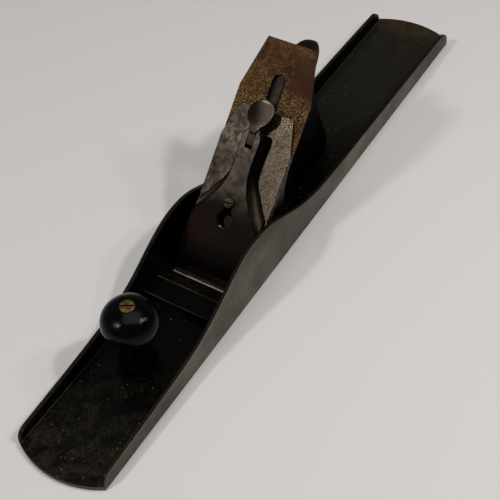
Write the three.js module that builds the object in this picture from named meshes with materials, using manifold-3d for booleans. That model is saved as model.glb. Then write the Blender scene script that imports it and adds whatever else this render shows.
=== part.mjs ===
// Jointer plane: a long cast-iron bench plane with a bedded iron, cap iron, lever cap,
// adjusting nut with yoke, lateral lever, turned front knob and shaped rear handle (tote).
// Frame: +X towards the toe, +Y to the user's left, +Z up, origin under the middle of the sole.
// Lengths are millimetres.
import * as THREE from "three";
import { mergeVertices } from "three/addons/utils/BufferGeometryUtils.js";
import Module from "manifold-3d";

const wasm = await Module();
wasm.setup();

// Clearances and overruns
const GAP = 0.3; // between two pieces that seat on each other
const RUNNING = 0.1; // around pins and shafts
const OVERRUN = 5; // how far a cutting shape passes the surface it cuts
const ROUND_STEPS = 20; // sides of a small round
const FINE_STEPS = 32; // sides of a large round
const NOSE_STEPS = 6; // facets of the lever cap's rounded end

// Sole and walls of the body casting
const SOLE = { length: 559, width: 74, thickness: 4, endSag: 10.7 };
const WALL = { thickness: 3.5, toeHeight: 12.2, heelHeight: 15.4, frontShoulder: 18.1, rearShoulder: 22.3, hump: 53.6 };
const HUMP = { crestBehindMouth: 17, frontRun: 108, rearRun: 108 };
const MOUTH = { fromToe: 190.5, ahead: 3, sideGap: 2.5, behind: 2.2 };
const THROAT = { slopeRun: 14, ribRun: 19.3, ribHeight: 8, ribEdge: 0.5, edgeHeight: 0.8, cheekIn: 6.1 };
const SEAT = { height: 8, frontStep: 1.8, behindFrog: 2 };
const KNOB_BOSS = { radius: 16, height: 3.5 };
const TOTE_PAD = { height: 2, margin: 2.5 };
const ROD = { radius: 2.8, skin: 1.8 }; // skin: iron left under a rod's blind hole

// Bedding of the iron
const BED_ANGLE = Math.PI / 4;
const IRON = { thickness: 2.1, sideGap: 3.35, length: 192.4, topWidth: 41, shoulder: 152, retract: 0.5 };
const BEVEL = { length: 4.6, edge: 0.2 };
const IRON_SLOT = { width: 11, belowTop: 24.4, bottom: 52, eye: 8 };

// Cap iron (chip breaker)
const CAP_IRON = { thickness: 2.3, top: 139.6, topWidth: 45, shoulder: 113, edgeBack: 1.6, flatFrom: 24 };
const HUMP_OVER_EDGE = { at: 11.5, height: 5, front: 5.5, rear: 17.5 };
const CAP_IRON_WINDOW = { halfWidth: 5.5, halfLength: 10 };
const YOKE_WINDOW = { halfWidth: 3.8, halfLength: 3 };
const CAP_SCREW = { at: 91.4, headRadius: 6.3, headHeight: 3.6, radius: 3.6, slot: 1.2 };

// Lever cap and its screw
const LEVER_CAP = { bottom: 9.4, top: 122, inFromIron: 1.65, lip: 4, rise: 5, wall: 3, roof: 3.4, flare: 4.8 };
const FLARE_MORE = { by: 3, below: 70, gone: 90 }; // the flanks spread further where the cap widens
const NOSE = { from: 21, drop: 3 }; // rounding of the lever cap's lower end
const LEVER_CAP_UNDER = { above: 0.8, hollowFrom: 26, hollowTo: 113, footRadius: 3 };
const KEYHOLE = { eyeRadius: 6.7, slotHalf: 3.3, drop: 12.8 };
const LEVER_CAP_SCREW = { at: 66, slotTurn: 1.75, radius: 2.9, headRadius: 4.2, headHeight: 2.8, thread: 14, slot: 1.2 };

// Cam lever with its thumb piece, pin and spring
const CAM = { at: 116.5, height: 9.3, radius: 4.4, throw: 0.8, halfWidth: 2.9, slotSide: 0.3, slotBelow: 7.6 };
const THUMB = { from: 123, length: 23.8, width: 19.8, thickness: 2.5, height: 15.4, fall: 5 };
const CAM_PIN = { radius: 1.6, headIn: 0.1 };
const RIVET_SKIN = 1.2; // iron left over the spring's rivet
const SPRING = { from: 86, to: 120.5, width: 5.6, thickness: 0.9, rivetRadius: 1.5, rivetAt: 90, bend: 106 };

// Frog
const FROG = { sideGap: 7.5, bottom: 10, top: 119, plate: 6.5, baseLength: 71, base: 6, foot: 0.6, topWidth: 36 };
const FROG_WEB = { outer: 2.6, centre: 2.6, centreInner: 10.2, topShort: 5 };
const FROG_SLOT = { halfWidth: 7.5, from: 72, to: 99.5 };
const FROG_WINDOW = { halfWidth: 4.8, halfLength: 13 };
const FROG_SCREW = { ahead: 26, radius: 2.8, headRadius: 4.4, headHeight: 3, slot: 1.1, slotTravel: 1.8 };
const WASHER = { radius: 5, thickness: 1.2 };

// Depth adjuster: stud, nut and yoke
const STUD = { radius: 3.4, height: 35, tail: 3, rootInBoss: 15, bossRadius: 6.5, bossFace: 76.4 };
const NUT = { radius: 12.5, disc: 8, groove: 6, grooveRadius: 5.2, flange: 2, flangeRadius: 7.6, dish: 1.6, knurl: 0.5 };
const KNURL_STEPS = 36; // ridges round the adjusting nut
const YOKE = { pivotUp: 82, pivotDepth: 13.6, hubRadius: 4, pinRadius: 1.6, prong: 2.4, prongBelow: 5, halfSpan: 9.6 };
const YOKE_FINGER = { at: 80, thickness: 4, halfWidth: 3, root: 6.5, tipBelow: 0.4 };
const YOKE_ARM = { above: 4.2, overNut: 1.8 };

// Lateral lever
const LATERAL = { pivot: 112, disc: 104, discRadius: 4.4, discHeight: 1.9, thickness: 1.8, sunk: 0.4, halfWidth: 5 };
const LATERAL_END = { at: 166, tab: 5.6, tabHalf: 8.5, lowerRadius: 4.9 };
const LATERAL_PIN = { radius: 2.2, depth: 3.4 };
const LATERAL_POCKET = { clearance: 1.6, depthBelow: 0.4 };

// Front knob
const KNOB = { fromToe: 102, ballRadius: 21, ballHalfHeight: 16, top: 71, baseRadius: 14.5, neckRadius: 9.6 };
const BALL_STEPS = 14;
const BALL_FULLNESS_SHARE = 0.92; // less than one fills out the ball's section
const KNOB_NUT = { radius: 5.4, head: 2.2, barrelRadius: 4.2, barrel: 14, slot: 1.4, proud: 0.5, slotTurn: 2.1 };
const NUT_TO_ROD = 6; // how far a rod enters its barrel nut

// Tote, placed behind the mouth
const TOTE = { front: 97, length: 82, height: 120, width: 24.4 };
const TOTE_AROUND_STEPS = 24;
const TOTE_RUNG_STEPS = 27;
const TOTE_ROUNDING_SHARE = 0.7; // less than one fills out the corners of the handle's section
const TOTE_ROD = { footBehindFront: 52, topBehindFront: 46.5, top: 118.6 };
const TOTE_NUT = { radius: 6, head: 2.4 };
const TOE_SCREW = { behindFront: 9.5, radius: 2.4, headRadius: 4.4, headHeight: 2.6, sink: 1.4, slot: 1.1, top: 11.5 };

// Places that follow from the sizes above
const HALF = SOLE.length / 2;
const MOUTH_X = HALF - MOUTH.fromToe;
const KNOB_X = HALF - KNOB.fromToe;
const INNER = SOLE.width / 2 - WALL.thickness; // inner face of a side wall
const IRON_HALF = INNER - IRON.sideGap;
const FROG_HALF = INNER - FROG.sideGap;
const MOUTH_HALF = INNER - MOUTH.sideGap;
const CAP_HALF = IRON_HALF - LEVER_CAP.inFromIron;
const SLOT_TOP = IRON.length - IRON_SLOT.belowTop;
const CREST_X = MOUTH_X - HUMP.crestBehindMouth;
const TOTE_FRONT_X = MOUTH_X - TOTE.front;
const SEAT_Z = SOLE.thickness + SEAT.height;
const FROG_FACE = -IRON.thickness - GAP; // height of the frog's face in the bed's own frame
const FROG_BACK = FROG_FACE - FROG.plate;
const FROG_BASE_Z = SEAT_Z + GAP;
const FROG_REAR_X = MOUTH_X - FROG.baseLength;
const CAP_IRON_UNDER = GAP;
const CAP_IRON_TOP = CAP_IRON_UNDER + CAP_IRON.thickness;
const DIAGONAL = Math.SQRT2;

const SINE = Math.sin(BED_ANGLE);
const COSINE = Math.cos(BED_ANGLE);

// A point of the bed's own frame (distance up the bed, height above the iron's face) in the body's frame
const fromBed = (up, height) => ({
  x: MOUTH_X - up * COSINE + height * SINE,
  z: up * SINE + height * COSINE,
});

// Where the plane at a height over the iron's face would meet the bottom of the sole
const bedFoot = (height) => MOUTH_X + height * DIAGONAL;

const MATERIALS = {
  japan: { color: 0x14120f, roughness: 0.35, metalness: 0.1 },
  ironwork: { color: 0x5c5a57, roughness: 0.5, metalness: 0.75 },
  rusty: { color: 0x4a3220, roughness: 0.8, metalness: 0.35 },
  capIron: { color: 0x5f5a55, roughness: 0.55, metalness: 0.7 },
  brass: { color: 0x8a6a2a, roughness: 0.4, metalness: 0.9 },
  steel: { color: 0x4c4a48, roughness: 0.45, metalness: 0.85 },
  wood: { color: 0x16110e, roughness: 0.4, metalness: 0 },
};
for (const key of Object.keys(MATERIALS)) MATERIALS[key] = new THREE.MeshStandardMaterial(MATERIALS[key]);

// Geometry of a closed surface as a solid that can be joined and cut
function solid(geometry) {
  const bare = geometry.clone();
  bare.deleteAttribute("normal");
  bare.deleteAttribute("uv");
  const merged = mergeVertices(bare, 1e-4);
  return new wasm.Manifold(
    new wasm.Mesh({
      numProp: 3,
      vertProperties: merged.attributes.position.array,
      triVerts: new Uint32Array(merged.index.array),
    }),
  );
}

// A solid back as a geometry
function geometryOf(body) {
  const mesh = body.getMesh();
  const places = new Float32Array(mesh.numVert * 3);
  for (let i = 0; i < mesh.numVert; i += 1) {
    places.set(mesh.vertProperties.subarray(i * mesh.numProp, i * mesh.numProp + 3), i * 3);
  }
  const geometry = new THREE.BufferGeometry();
  geometry.setAttribute("position", new THREE.BufferAttribute(places, 3));
  geometry.setIndex(new THREE.BufferAttribute(new Uint32Array(mesh.triVerts), 1));
  geometry.computeVertexNormals();
  return geometry;
}

const join = (...geometries) => geometries.map(solid).reduce((a, b) => a.add(b));
const cut = (body, ...geometries) => geometries.map(solid).reduce((a, b) => a.subtract(b), body);
const keep = (body, geometry) => body.intersect(solid(geometry));

function piece(name, body, material) {
  const geometry = body.isBufferGeometry ? body : geometryOf(body);
  const mesh = new THREE.Mesh(geometry, material);
  mesh.name = name;
  return mesh;
}

const flat = (x, y) => new THREE.Vector2(x, y);
const outline = (points) => new THREE.Shape(points.map((p) => (p.isVector2 ? p : flat(p[0], p[1]))));
function smooth(points, steps) {
  const places = points.map((p) => new THREE.Vector3(p[0], p[1], 0));
  const curve = new THREE.CatmullRomCurve3(places, false, "centripetal");
  return curve.getPoints(steps).map((p) => flat(p.x, p.y));
}

// Plate of an outline in the XY plane, from one height to another
function plate(shape, low, high) {
  const settings = { depth: high - low, bevelEnabled: false, curveSegments: ROUND_STEPS / 2 };
  return new THREE.ExtrudeGeometry(shape, settings).translate(0, 0, low);
}

// Extrusion across the plane of an outline in the XZ plane
function across(points, right, left) {
  const settings = { depth: left - right, bevelEnabled: false };
  return new THREE.ExtrudeGeometry(outline(points), settings).rotateX(Math.PI / 2).translate(0, left, 0);
}

const block = (x0, x1, y0, y1, z0, z1) =>
  new THREE.BoxGeometry(x1 - x0, y1 - y0, z1 - z0).translate((x0 + x1) / 2, (y0 + y1) / 2, (z0 + z1) / 2);

const postZ = (radius, z0, z1, steps = ROUND_STEPS) =>
  new THREE.CylinderGeometry(radius, radius, z1 - z0, steps).rotateX(Math.PI / 2).translate(0, 0, (z0 + z1) / 2);

const pinY = (radius, y0, y1, steps = ROUND_STEPS) =>
  new THREE.CylinderGeometry(radius, radius, y1 - y0, steps).translate(0, (y0 + y1) / 2, 0);

const shaftX = (radius, x0, x1, steps = ROUND_STEPS) =>
  new THREE.CylinderGeometry(radius, radius, x1 - x0, steps).rotateZ(Math.PI / 2).translate((x0 + x1) / 2, 0, 0);

// Surface turned about the Z axis from a profile of [radius, height] that rises from the axis
function turned(profile, steps = FINE_STEPS) {
  const points = profile.map((p) => flat(p[0], p[1]));
  return new THREE.LatheGeometry(points, steps).rotateX(Math.PI / 2);
}

// A shape drawn in the bed's own frame (x = down the bed, z = height over the iron's face), set in the body's frame
const inBody = (geometry) => geometry.rotateY(BED_ANGLE).translate(MOUTH_X, 0, 0);

// A slot with round ends along x, centred across it
function roundSlot(from, to, half, low, high) {
  const shape = new THREE.Shape();
  shape.absarc(to - half, 0, half, -Math.PI / 2, Math.PI / 2);
  shape.absarc(from + half, 0, half, Math.PI / 2, Math.PI * 1.5);
  return plate(shape, low, high);
}

// A screw or nut head with its driver slot, standing on z = 0
function slottedHead(radius, height, slot) {
  const dome = height * 0.35;
  const profile = [[0, 0], [radius, 0], [radius, height - dome], [radius * 0.86, height - dome * 0.3], [0, height]];
  const groove = block(-radius - OVERRUN, radius + OVERRUN, -slot / 2, slot / 2, height * 0.5, height + OVERRUN);
  return cut(solid(turned(profile, ROUND_STEPS)), groove);
}

// Body casting
const FRONT_HUMP_SHARES = [
  [0.111, 0.962], [0.222, 0.85], [0.333, 0.696], [0.444, 0.512], [0.556, 0.344], [0.667, 0.207], [0.778, 0.098],
  [0.889, 0.034],
];
const REAR_HUMP_SHARES = [
  [0.111, 0.974], [0.222, 0.87], [0.333, 0.696], [0.444, 0.516], [0.556, 0.344], [0.667, 0.205], [0.778, 0.107],
  [0.889, 0.038],
];
const TOE_FALL_SHARES = [
  [0.28, 0.37], [0.6, 0.66],
];
const HEEL_FALL_SHARES = [
  [0.16, 0.22], [0.35, 0.37], [0.6, 0.58], [0.8, 0.78],
];

function soleOutline() {
  const half = SOLE.width / 2;
  const radius = (SOLE.endSag ** 2 + half ** 2) / (2 * SOLE.endSag);
  const sweep = Math.asin(half / radius);
  const shape = new THREE.Shape();
  shape.absarc(HALF - radius, 0, radius, -sweep, sweep);
  shape.absarc(radius - HALF, 0, radius, Math.PI - sweep, Math.PI + sweep);
  return shape;
}

function wallProfile() {
  const end = HALF - SOLE.endSag;
  const toeRound = WALL.toeHeight - SOLE.thickness;
  const heelRound = WALL.heelHeight - SOLE.thickness;
  const frontFoot = CREST_X + HUMP.frontRun;
  const front = FRONT_HUMP_SHARES.map(([along, up]) => [
    CREST_X + along * HUMP.frontRun,
    WALL.frontShoulder + up * (WALL.hump - WALL.frontShoulder),
  ]);
  const rear = REAR_HUMP_SHARES.map(([along, up]) => [
    CREST_X - along * HUMP.rearRun,
    WALL.rearShoulder + up * (WALL.hump - WALL.rearShoulder),
  ]);
  const rearFoot = CREST_X - HUMP.rearRun;
  const toeFall = TOE_FALL_SHARES.map(([along, down]) => [
    frontFoot + along * (end - toeRound - frontFoot),
    WALL.frontShoulder - down * (WALL.frontShoulder - WALL.toeHeight),
  ]);
  const heelFall = HEEL_FALL_SHARES.map(([along, down]) => [
    rearFoot - along * (rearFoot + end - heelRound),
    WALL.rearShoulder - down * (WALL.rearShoulder - WALL.heelHeight),
  ]);
  const crest = smooth(
    [
      [end - toeRound, WALL.toeHeight],
      ...toeFall.reverse(),
      [frontFoot, WALL.frontShoulder],
      ...front.reverse(),
      [CREST_X, WALL.hump],
      ...rear,
      [rearFoot, WALL.rearShoulder],
      ...heelFall,
      [heelRound - end, WALL.heelHeight],
    ],
    78,
  );
  const round = (centre, radius, from, to) => {
    const arc = new THREE.EllipseCurve(centre, SOLE.thickness, radius, radius, from, to, to < from);
    return arc.getPoints(6);
  };
  return [
    flat(-end, 0),
    flat(end, 0),
    ...round(end - toeRound, toeRound, 0, Math.PI / 2),
    ...crest.slice(1, -1),
    ...round(heelRound - end, heelRound, Math.PI / 2, Math.PI),
  ];
}

function bodyCasting() {
  const half = SOLE.width / 2;
  const inner = INNER;
  const top = SOLE.thickness;
  const fullHeight = plate(soleOutline(), 0, WALL.hump + OVERRUN);
  const profile = wallProfile();
  const walls = solid(across(profile, inner, half)).add(solid(across(profile, -half, -inner)));
  const mouthFront = MOUTH_X + MOUTH.ahead;
  const ribRear = mouthFront + THROAT.slopeRun;
  const ribFront = ribRear + THROAT.ribRun;
  const ribTop = top + THROAT.ribHeight;
  const ribRound = THROAT.ribEdge;
  const rib = across(
    [
      [mouthFront, 0],
      [ribFront, 0],
      [ribFront, ribTop - ribRound],
      [ribFront - ribRound, ribTop],
      [ribRear + ribRound, ribTop],
      [ribRear, ribTop - ribRound],
      [mouthFront, top - THROAT.edgeHeight],
    ],
    -inner - WALL.thickness / 2,
    inner + WALL.thickness / 2,
  );
  const cheek = (side) => {
    const shape = outline([
      [mouthFront, side * MOUTH_HALF],
      [ribRear + ribRound, side * (inner - THROAT.cheekIn)],
      [ribRear + ribRound, side * (inner + WALL.thickness / 2)],
      [mouthFront, side * (inner + WALL.thickness / 2)],
    ]);
    return plate(shape, top / 2, ribTop - ribRound);
  };
  const seatBack = FROG_REAR_X - SEAT.behindFrog - SEAT.frontStep;
  const seatFront = bedFoot(FROG_BACK) - SEAT.frontStep * DIAGONAL;
  const seat = across(
    [
      [seatBack, 0],
      [seatFront - top, 0],
      [seatFront - top, top],
      [seatFront - SEAT_Z, SEAT_Z],
      [seatBack, SEAT_Z],
    ],
    -FROG_HALF,
    FROG_HALF,
  );
  const boss = postZ(KNOB_BOSS.radius, top / 2, top + KNOB_BOSS.height, FINE_STEPS).translate(KNOB_X, 0, 0);
  const padHalf = TOTE.width / 2 + TOTE_PAD.margin;
  const padMiddle = TOTE_FRONT_X - TOTE.length / 2;
  const pad = roundSlot(
    -TOTE.length / 2 - TOTE_PAD.margin,
    TOTE.length / 2 + TOTE_PAD.margin,
    padHalf,
    top / 2,
    top + TOTE_PAD.height,
  ).translate(padMiddle, 0, 0);
  const sole = plate(soleOutline(), 0, top);
  let body = keep(walls, fullHeight).add(join(sole, rib, cheek(1), cheek(-1), seat, boss, pad));

  const ramp = MOUTH_X - (IRON.thickness + GAP) * DIAGONAL - MOUTH.behind;
  const mouth = across(
    [
      [ramp + OVERRUN, -OVERRUN],
      [mouthFront, -OVERRUN],
      [mouthFront, top + OVERRUN],
      [ramp - top - OVERRUN, top + OVERRUN],
    ],
    -MOUTH_HALF,
    MOUTH_HALF,
  );
  const screwFloor = ROD.skin;
  const rodHole = ROD.radius + RUNNING;
  const knobHole = postZ(rodHole, screwFloor, top + KNOB_BOSS.height + OVERRUN).translate(KNOB_X, 0, 0);
  const toteHole = toteAxis(postZ(rodHole, screwFloor, top + TOTE_PAD.height + OVERRUN));
  const toeHole = postZ(TOE_SCREW.radius + RUNNING, screwFloor, top + TOTE_PAD.height + OVERRUN).translate(
    TOTE_FRONT_X - TOE_SCREW.behindFront,
    0,
    0,
  );
  const frogHoles = [-1, 1].map((side) =>
    postZ(FROG_SCREW.radius + RUNNING, screwFloor, SEAT_Z + OVERRUN).translate(frogScrewX(), side * frogScrewY(), 0),
  );
  body = cut(body, mouth, knobHole, toteHole, toeHole, ...frogHoles);
  return piece("plane_body", body, MATERIALS.ironwork);
}

// Frog and the screws that hold it
const frogScrewX = () => FROG_REAR_X + FROG_SCREW.ahead;
const frogScrewY = () => (FROG_HALF - FROG_WEB.outer + FROG_WEB.centreInner + FROG_WEB.centre) / 2;

const FROG_REAR_SHARES = [
  [0, 0], [0, 0.15], [0.05, 0.33], [0.158, 0.488], [0.316, 0.672], [0.58, 0.84], [1, 1],
];

function frogWebOutline(short) {
  const peak = fromBed(FROG.top - short, FROG_BACK + FROG.plate / 2);
  const back = fromBed(FROG.top - short, FROG_BACK - FROG_WEB.outer);
  const rear = smooth(
    FROG_REAR_SHARES.map(([behind, up]) => [
      FROG_REAR_X + behind * (back.x - FROG_REAR_X),
      FROG_BASE_Z + up * (back.z - FROG_BASE_Z),
    ]),
    16,
  );
  const middle = bedFoot(FROG_BACK + FROG.plate / 2);
  return [[middle - FROG_BASE_Z, FROG_BASE_Z], [peak.x, peak.z], ...rear.reverse().map((p) => [p.x, p.y])];
}

function frogPlateOutline() {
  const half = FROG_HALF;
  const topHalf = FROG.topWidth / 2;
  const corner = half - topHalf;
  const shape = new THREE.Shape();
  shape.moveTo(-FROG.bottom, -half);
  shape.lineTo(-FROG.bottom, half);
  shape.lineTo(2 * corner - FROG.top, half);
  shape.quadraticCurveTo(corner * 0.4 - FROG.top, half, -FROG.top, topHalf);
  shape.lineTo(-FROG.top, -topHalf);
  shape.quadraticCurveTo(corner * 0.4 - FROG.top, -half, 2 * corner - FROG.top, -half);
  return shape;
}

function frogCasting() {
  const half = FROG_HALF;
  const facePlate = inBody(plate(frogPlateOutline(), FROG_BACK, FROG_FACE));
  const middle = bedFoot(FROG_BACK + FROG.plate / 2);
  const baseTop = FROG_BASE_Z + FROG.base;
  const base = across(
    [
      [FROG_REAR_X, FROG_BASE_Z],
      [middle - FROG_BASE_Z, FROG_BASE_Z],
      [middle - baseTop, baseTop],
      [FROG_REAR_X, baseTop],
    ],
    -half,
    half,
  );
  const web = frogWebOutline(FROG_WEB.topShort);
  const webs = [
    across(web, half - FROG_WEB.outer, half),
    across(web, -half, FROG_WEB.outer - half),
    across(web, FROG_WEB.centreInner, FROG_WEB.centreInner + FROG_WEB.centre),
    across(web, -FROG_WEB.centreInner - FROG_WEB.centre, -FROG_WEB.centreInner),
  ];
  const bossFace = MOUTH_X - STUD.bossFace;
  const bossRoot = bossFace + STUD.rootInBoss + STUD.bossRadius / 2;
  const boss = shaftX(STUD.bossRadius, bossFace, bossRoot).translate(0, 0, STUD.height);
  const bossTie = block(
    bossFace + STUD.bossRadius,
    bossRoot,
    -FROG_WEB.centreInner - FROG_WEB.centre / 2,
    FROG_WEB.centreInner + FROG_WEB.centre / 2,
    baseTop - FROG.base / 2,
    STUD.height,
  );
  const screwBoss = inBody(
    postZ(LEVER_CAP_SCREW.headRadius + 1.5 * RUNNING, -LEVER_CAP_SCREW.thread, FROG_FACE - FROG.plate / 2).translate(
      -LEVER_CAP_SCREW.at,
      0,
      0,
    ),
  );
  const screwTie = inBody(
    block(
      -LEVER_CAP_SCREW.at - LEVER_CAP_SCREW.radius,
      -LEVER_CAP_SCREW.at + LEVER_CAP_SCREW.radius,
      -FROG_WEB.centreInner - FROG_WEB.centre / 2,
      FROG_WEB.centreInner + FROG_WEB.centre / 2,
      -LEVER_CAP_SCREW.thread * 0.8,
      FROG_FACE - FROG.plate / 2,
    ),
  );
  let frog = join(facePlate, base, ...webs, boss, bossTie, screwBoss, screwTie);

  const footZ = SOLE.thickness + FROG.foot;
  const bed = block(-HALF, HALF, -SOLE.width, SOLE.width, -SOLE.width, footZ);
  const seatRoom = block(
    -HALF,
    bedFoot(FROG_BACK) - FROG_BASE_Z,
    -SOLE.width,
    SOLE.width,
    0,
    FROG_BASE_Z,
  );
  const slot = inBody(
    roundSlot(-FROG_SLOT.to, -FROG_SLOT.from, FROG_SLOT.halfWidth, FROG_BACK - OVERRUN, FROG_FACE + OVERRUN),
  );
  const above = fromBed(0, FROG_FACE).x - frogScrewX();
  const windowAt = above / SINE;
  const windows = [-1, 1].map((side) =>
    inBody(
      block(
        -windowAt - FROG_WINDOW.halfLength,
        -windowAt + FROG_WINDOW.halfLength,
        side * frogScrewY() - FROG_WINDOW.halfWidth,
        side * frogScrewY() + FROG_WINDOW.halfWidth,
        FROG_BACK - FROG.plate / 2,
        FROG_FACE + OVERRUN,
      ),
    ),
  );
  const screwSlots = [-1, 1].map((side) => {
    const bore = FROG_SCREW.radius + RUNNING;
    const reach = bore + FROG_SCREW.slotTravel;
    return roundSlot(-reach, reach, bore, 0, baseTop + OVERRUN).translate(frogScrewX(), side * frogScrewY(), 0);
  });
  const screwWells = [-1, 1].map((side) => {
    const high = baseTop + WASHER.thickness + FROG_SCREW.headHeight + OVERRUN;
    return postZ(WASHER.radius + GAP / 2, baseTop, high).translate(frogScrewX(), side * frogScrewY(), 0);
  });
  const studHole = shaftX(STUD.radius + RUNNING, bossFace - OVERRUN, bossFace + STUD.rootInBoss).translate(
    0,
    0,
    STUD.height,
  );
  const pivot = fromBed(YOKE.pivotUp, -YOKE.pivotDepth);
  const pinReach = FROG_WEB.centreInner + FROG_WEB.centre + OVERRUN;
  const pinHole = pinY(YOKE.pinRadius + RUNNING, -pinReach, pinReach).translate(pivot.x, 0, pivot.z);
  const capScrewHole = inBody(
    postZ(LEVER_CAP_SCREW.radius + RUNNING, -LEVER_CAP_SCREW.thread - OVERRUN, OVERRUN).translate(
      -LEVER_CAP_SCREW.at,
      0,
      0,
    ),
  );
  const pocket = inBody(lateralPocket());
  const lateralHole = inBody(
    postZ(LATERAL_PIN.radius + RUNNING, lateralUnder() - LATERAL_PIN.depth - OVERRUN, OVERRUN).translate(
      -LATERAL.pivot,
      0,
      0,
    ),
  );
  frog = cut(frog, bed, seatRoom, slot, ...windows, ...screwSlots, ...screwWells, studHole, pinHole);
  frog = cut(frog, capScrewHole, pocket, lateralHole);
  return piece("frog", frog, MATERIALS.japan);
}

function frogFasteners() {
  const top = FROG_BASE_Z + FROG.base;
  const washerTop = top + GAP + WASHER.thickness;
  return [-1, 1].flatMap((side) => {
    const name = side < 0 ? "right" : "left";
    const place = (body, label, material) => {
      const mesh = piece(`${label}_${name}`, body, material);
      mesh.position.set(frogScrewX(), side * frogScrewY(), 0);
      return mesh;
    };
    const ring = cut(
      solid(postZ(WASHER.radius, top + GAP, washerTop)),
      postZ(FROG_SCREW.radius + RUNNING, 0, washerTop + OVERRUN),
    );
    const head = slottedHead(FROG_SCREW.headRadius, FROG_SCREW.headHeight, FROG_SCREW.slot);
    const screw = head
      .translate([0, 0, washerTop + GAP])
      .add(solid(postZ(FROG_SCREW.radius, ROD.skin + GAP, washerTop + GAP + FROG_SCREW.slot)));
    return [place(ring, "frog_washer", MATERIALS.steel), place(screw, "frog_screw", MATERIALS.steel)];
  });
}

// Depth adjuster, in the body's frame
function adjusterStud() {
  const face = MOUTH_X - STUD.bossFace;
  const rear = face - GAP - NUT.flange - NUT.groove - NUT.disc - STUD.tail;
  const stud = shaftX(STUD.radius, rear, face + STUD.rootInBoss - GAP).translate(0, 0, STUD.height);
  return piece("adjuster_stud", solid(stud), MATERIALS.steel);
}

function adjusterNut() {
  const rear = NUT.disc + NUT.groove + NUT.flange;
  const ring = new THREE.Shape();
  const corners = KNURL_STEPS * 2;
  for (let i = 0; i < corners; i += 1) {
    const radius = NUT.radius - (i % 2 ? NUT.knurl : 0);
    const angle = (i / corners) * Math.PI * 2;
    const at = flat(radius * Math.cos(angle), radius * Math.sin(angle));
    if (i === 0) ring.moveTo(at.x, at.y);
    else ring.lineTo(at.x, at.y);
  }
  const disc = plate(ring, 0, NUT.disc);
  const hub = turned(
    [
      [0, NUT.disc / 2],
      [NUT.grooveRadius, NUT.disc / 2],
      [NUT.grooveRadius, NUT.disc + NUT.groove],
      [NUT.flangeRadius, NUT.disc + NUT.groove],
      [NUT.flangeRadius, rear],
      [0, rear],
    ],
    ROUND_STEPS,
  );
  const dishRadius = NUT.radius * 0.78;
  const boss = NUT.grooveRadius + NUT.dish;
  const dish = cut(
    solid(postZ(dishRadius, -OVERRUN, NUT.dish, FINE_STEPS)),
    postZ(boss, -2 * OVERRUN, NUT.dish + OVERRUN),
  );
  let nut = join(disc, hub).subtract(dish);
  nut = cut(nut, postZ(STUD.radius + RUNNING, -OVERRUN, rear + OVERRUN));
  const mesh = piece("adjuster_nut", nut, MATERIALS.brass);
  mesh.rotation.y = Math.PI / 2;
  mesh.position.set(MOUTH_X - STUD.bossFace - GAP - rear, 0, STUD.height);
  return mesh;
}

function depthYoke() {
  const pivot = fromBed(YOKE.pivotUp, -YOKE.pivotDepth);
  const grooveMiddle = MOUTH_X - STUD.bossFace - GAP - NUT.flange - NUT.groove / 2;
  const prongFront = grooveMiddle + YOKE.prong / 2;
  const prongRear = grooveMiddle - YOKE.prong / 2;
  const crotch = STUD.height + NUT.flangeRadius + YOKE_ARM.overNut;
  const armTop = crotch + YOKE_ARM.above;
  const hub = pinY(YOKE.hubRadius, -YOKE.halfSpan, YOKE.halfSpan).translate(pivot.x, 0, pivot.z);
  const fork = across(
    [
      [pivot.x, pivot.z - YOKE.hubRadius * 0.85],
      [pivot.x, pivot.z + YOKE.hubRadius * 0.85],
      [prongRear, armTop],
      [prongRear, STUD.height - YOKE.prongBelow],
      [prongFront, STUD.height - YOKE.prongBelow],
      [prongFront, crotch],
    ],
    -YOKE.halfSpan,
    YOKE.halfSpan,
  );
  const finger = inBody(
    across(
      [
        [-YOKE.pivotUp - YOKE_FINGER.root / 2, -YOKE.pivotDepth],
        [-YOKE.pivotUp + YOKE_FINGER.root / 2, -YOKE.pivotDepth],
        [-YOKE_FINGER.at + YOKE_FINGER.thickness / 2, FROG_FACE],
        [-YOKE_FINGER.at + YOKE_FINGER.thickness / 2, CAP_IRON_TOP - YOKE_FINGER.tipBelow],
        [-YOKE_FINGER.at - YOKE_FINGER.thickness / 2, CAP_IRON_TOP - YOKE_FINGER.tipBelow],
        [-YOKE_FINGER.at - YOKE_FINGER.thickness / 2, FROG_FACE],
      ],
      -YOKE_FINGER.halfWidth,
      YOKE_FINGER.halfWidth,
    ),
  );
  const gapHalf = NUT.grooveRadius + 2 * RUNNING;
  const between = block(
    prongRear - OVERRUN,
    prongFront + OVERRUN,
    -gapHalf,
    gapHalf,
    STUD.height - YOKE.prongBelow - OVERRUN,
    crotch,
  );
  const bore = pinY(YOKE.pinRadius + RUNNING, -YOKE.halfSpan - OVERRUN, YOKE.halfSpan + OVERRUN);
  const yoke = cut(join(hub, fork, finger), between, bore.translate(pivot.x, 0, pivot.z));
  const reach = FROG_WEB.centreInner + FROG_WEB.centre;
  const pin = pinY(YOKE.pinRadius, -reach, reach).translate(pivot.x, 0, pivot.z);
  return [piece("depth_yoke", yoke, MATERIALS.steel), piece("yoke_pin", solid(pin), MATERIALS.steel)];
}

// Pieces on the bed, drawn in the bed's own frame: x runs down the bed, z is the height over the iron's face
const lateralTop = () => FROG_FACE - LATERAL.sunk;
const lateralUnder = () => lateralTop() - LATERAL.thickness;

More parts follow.
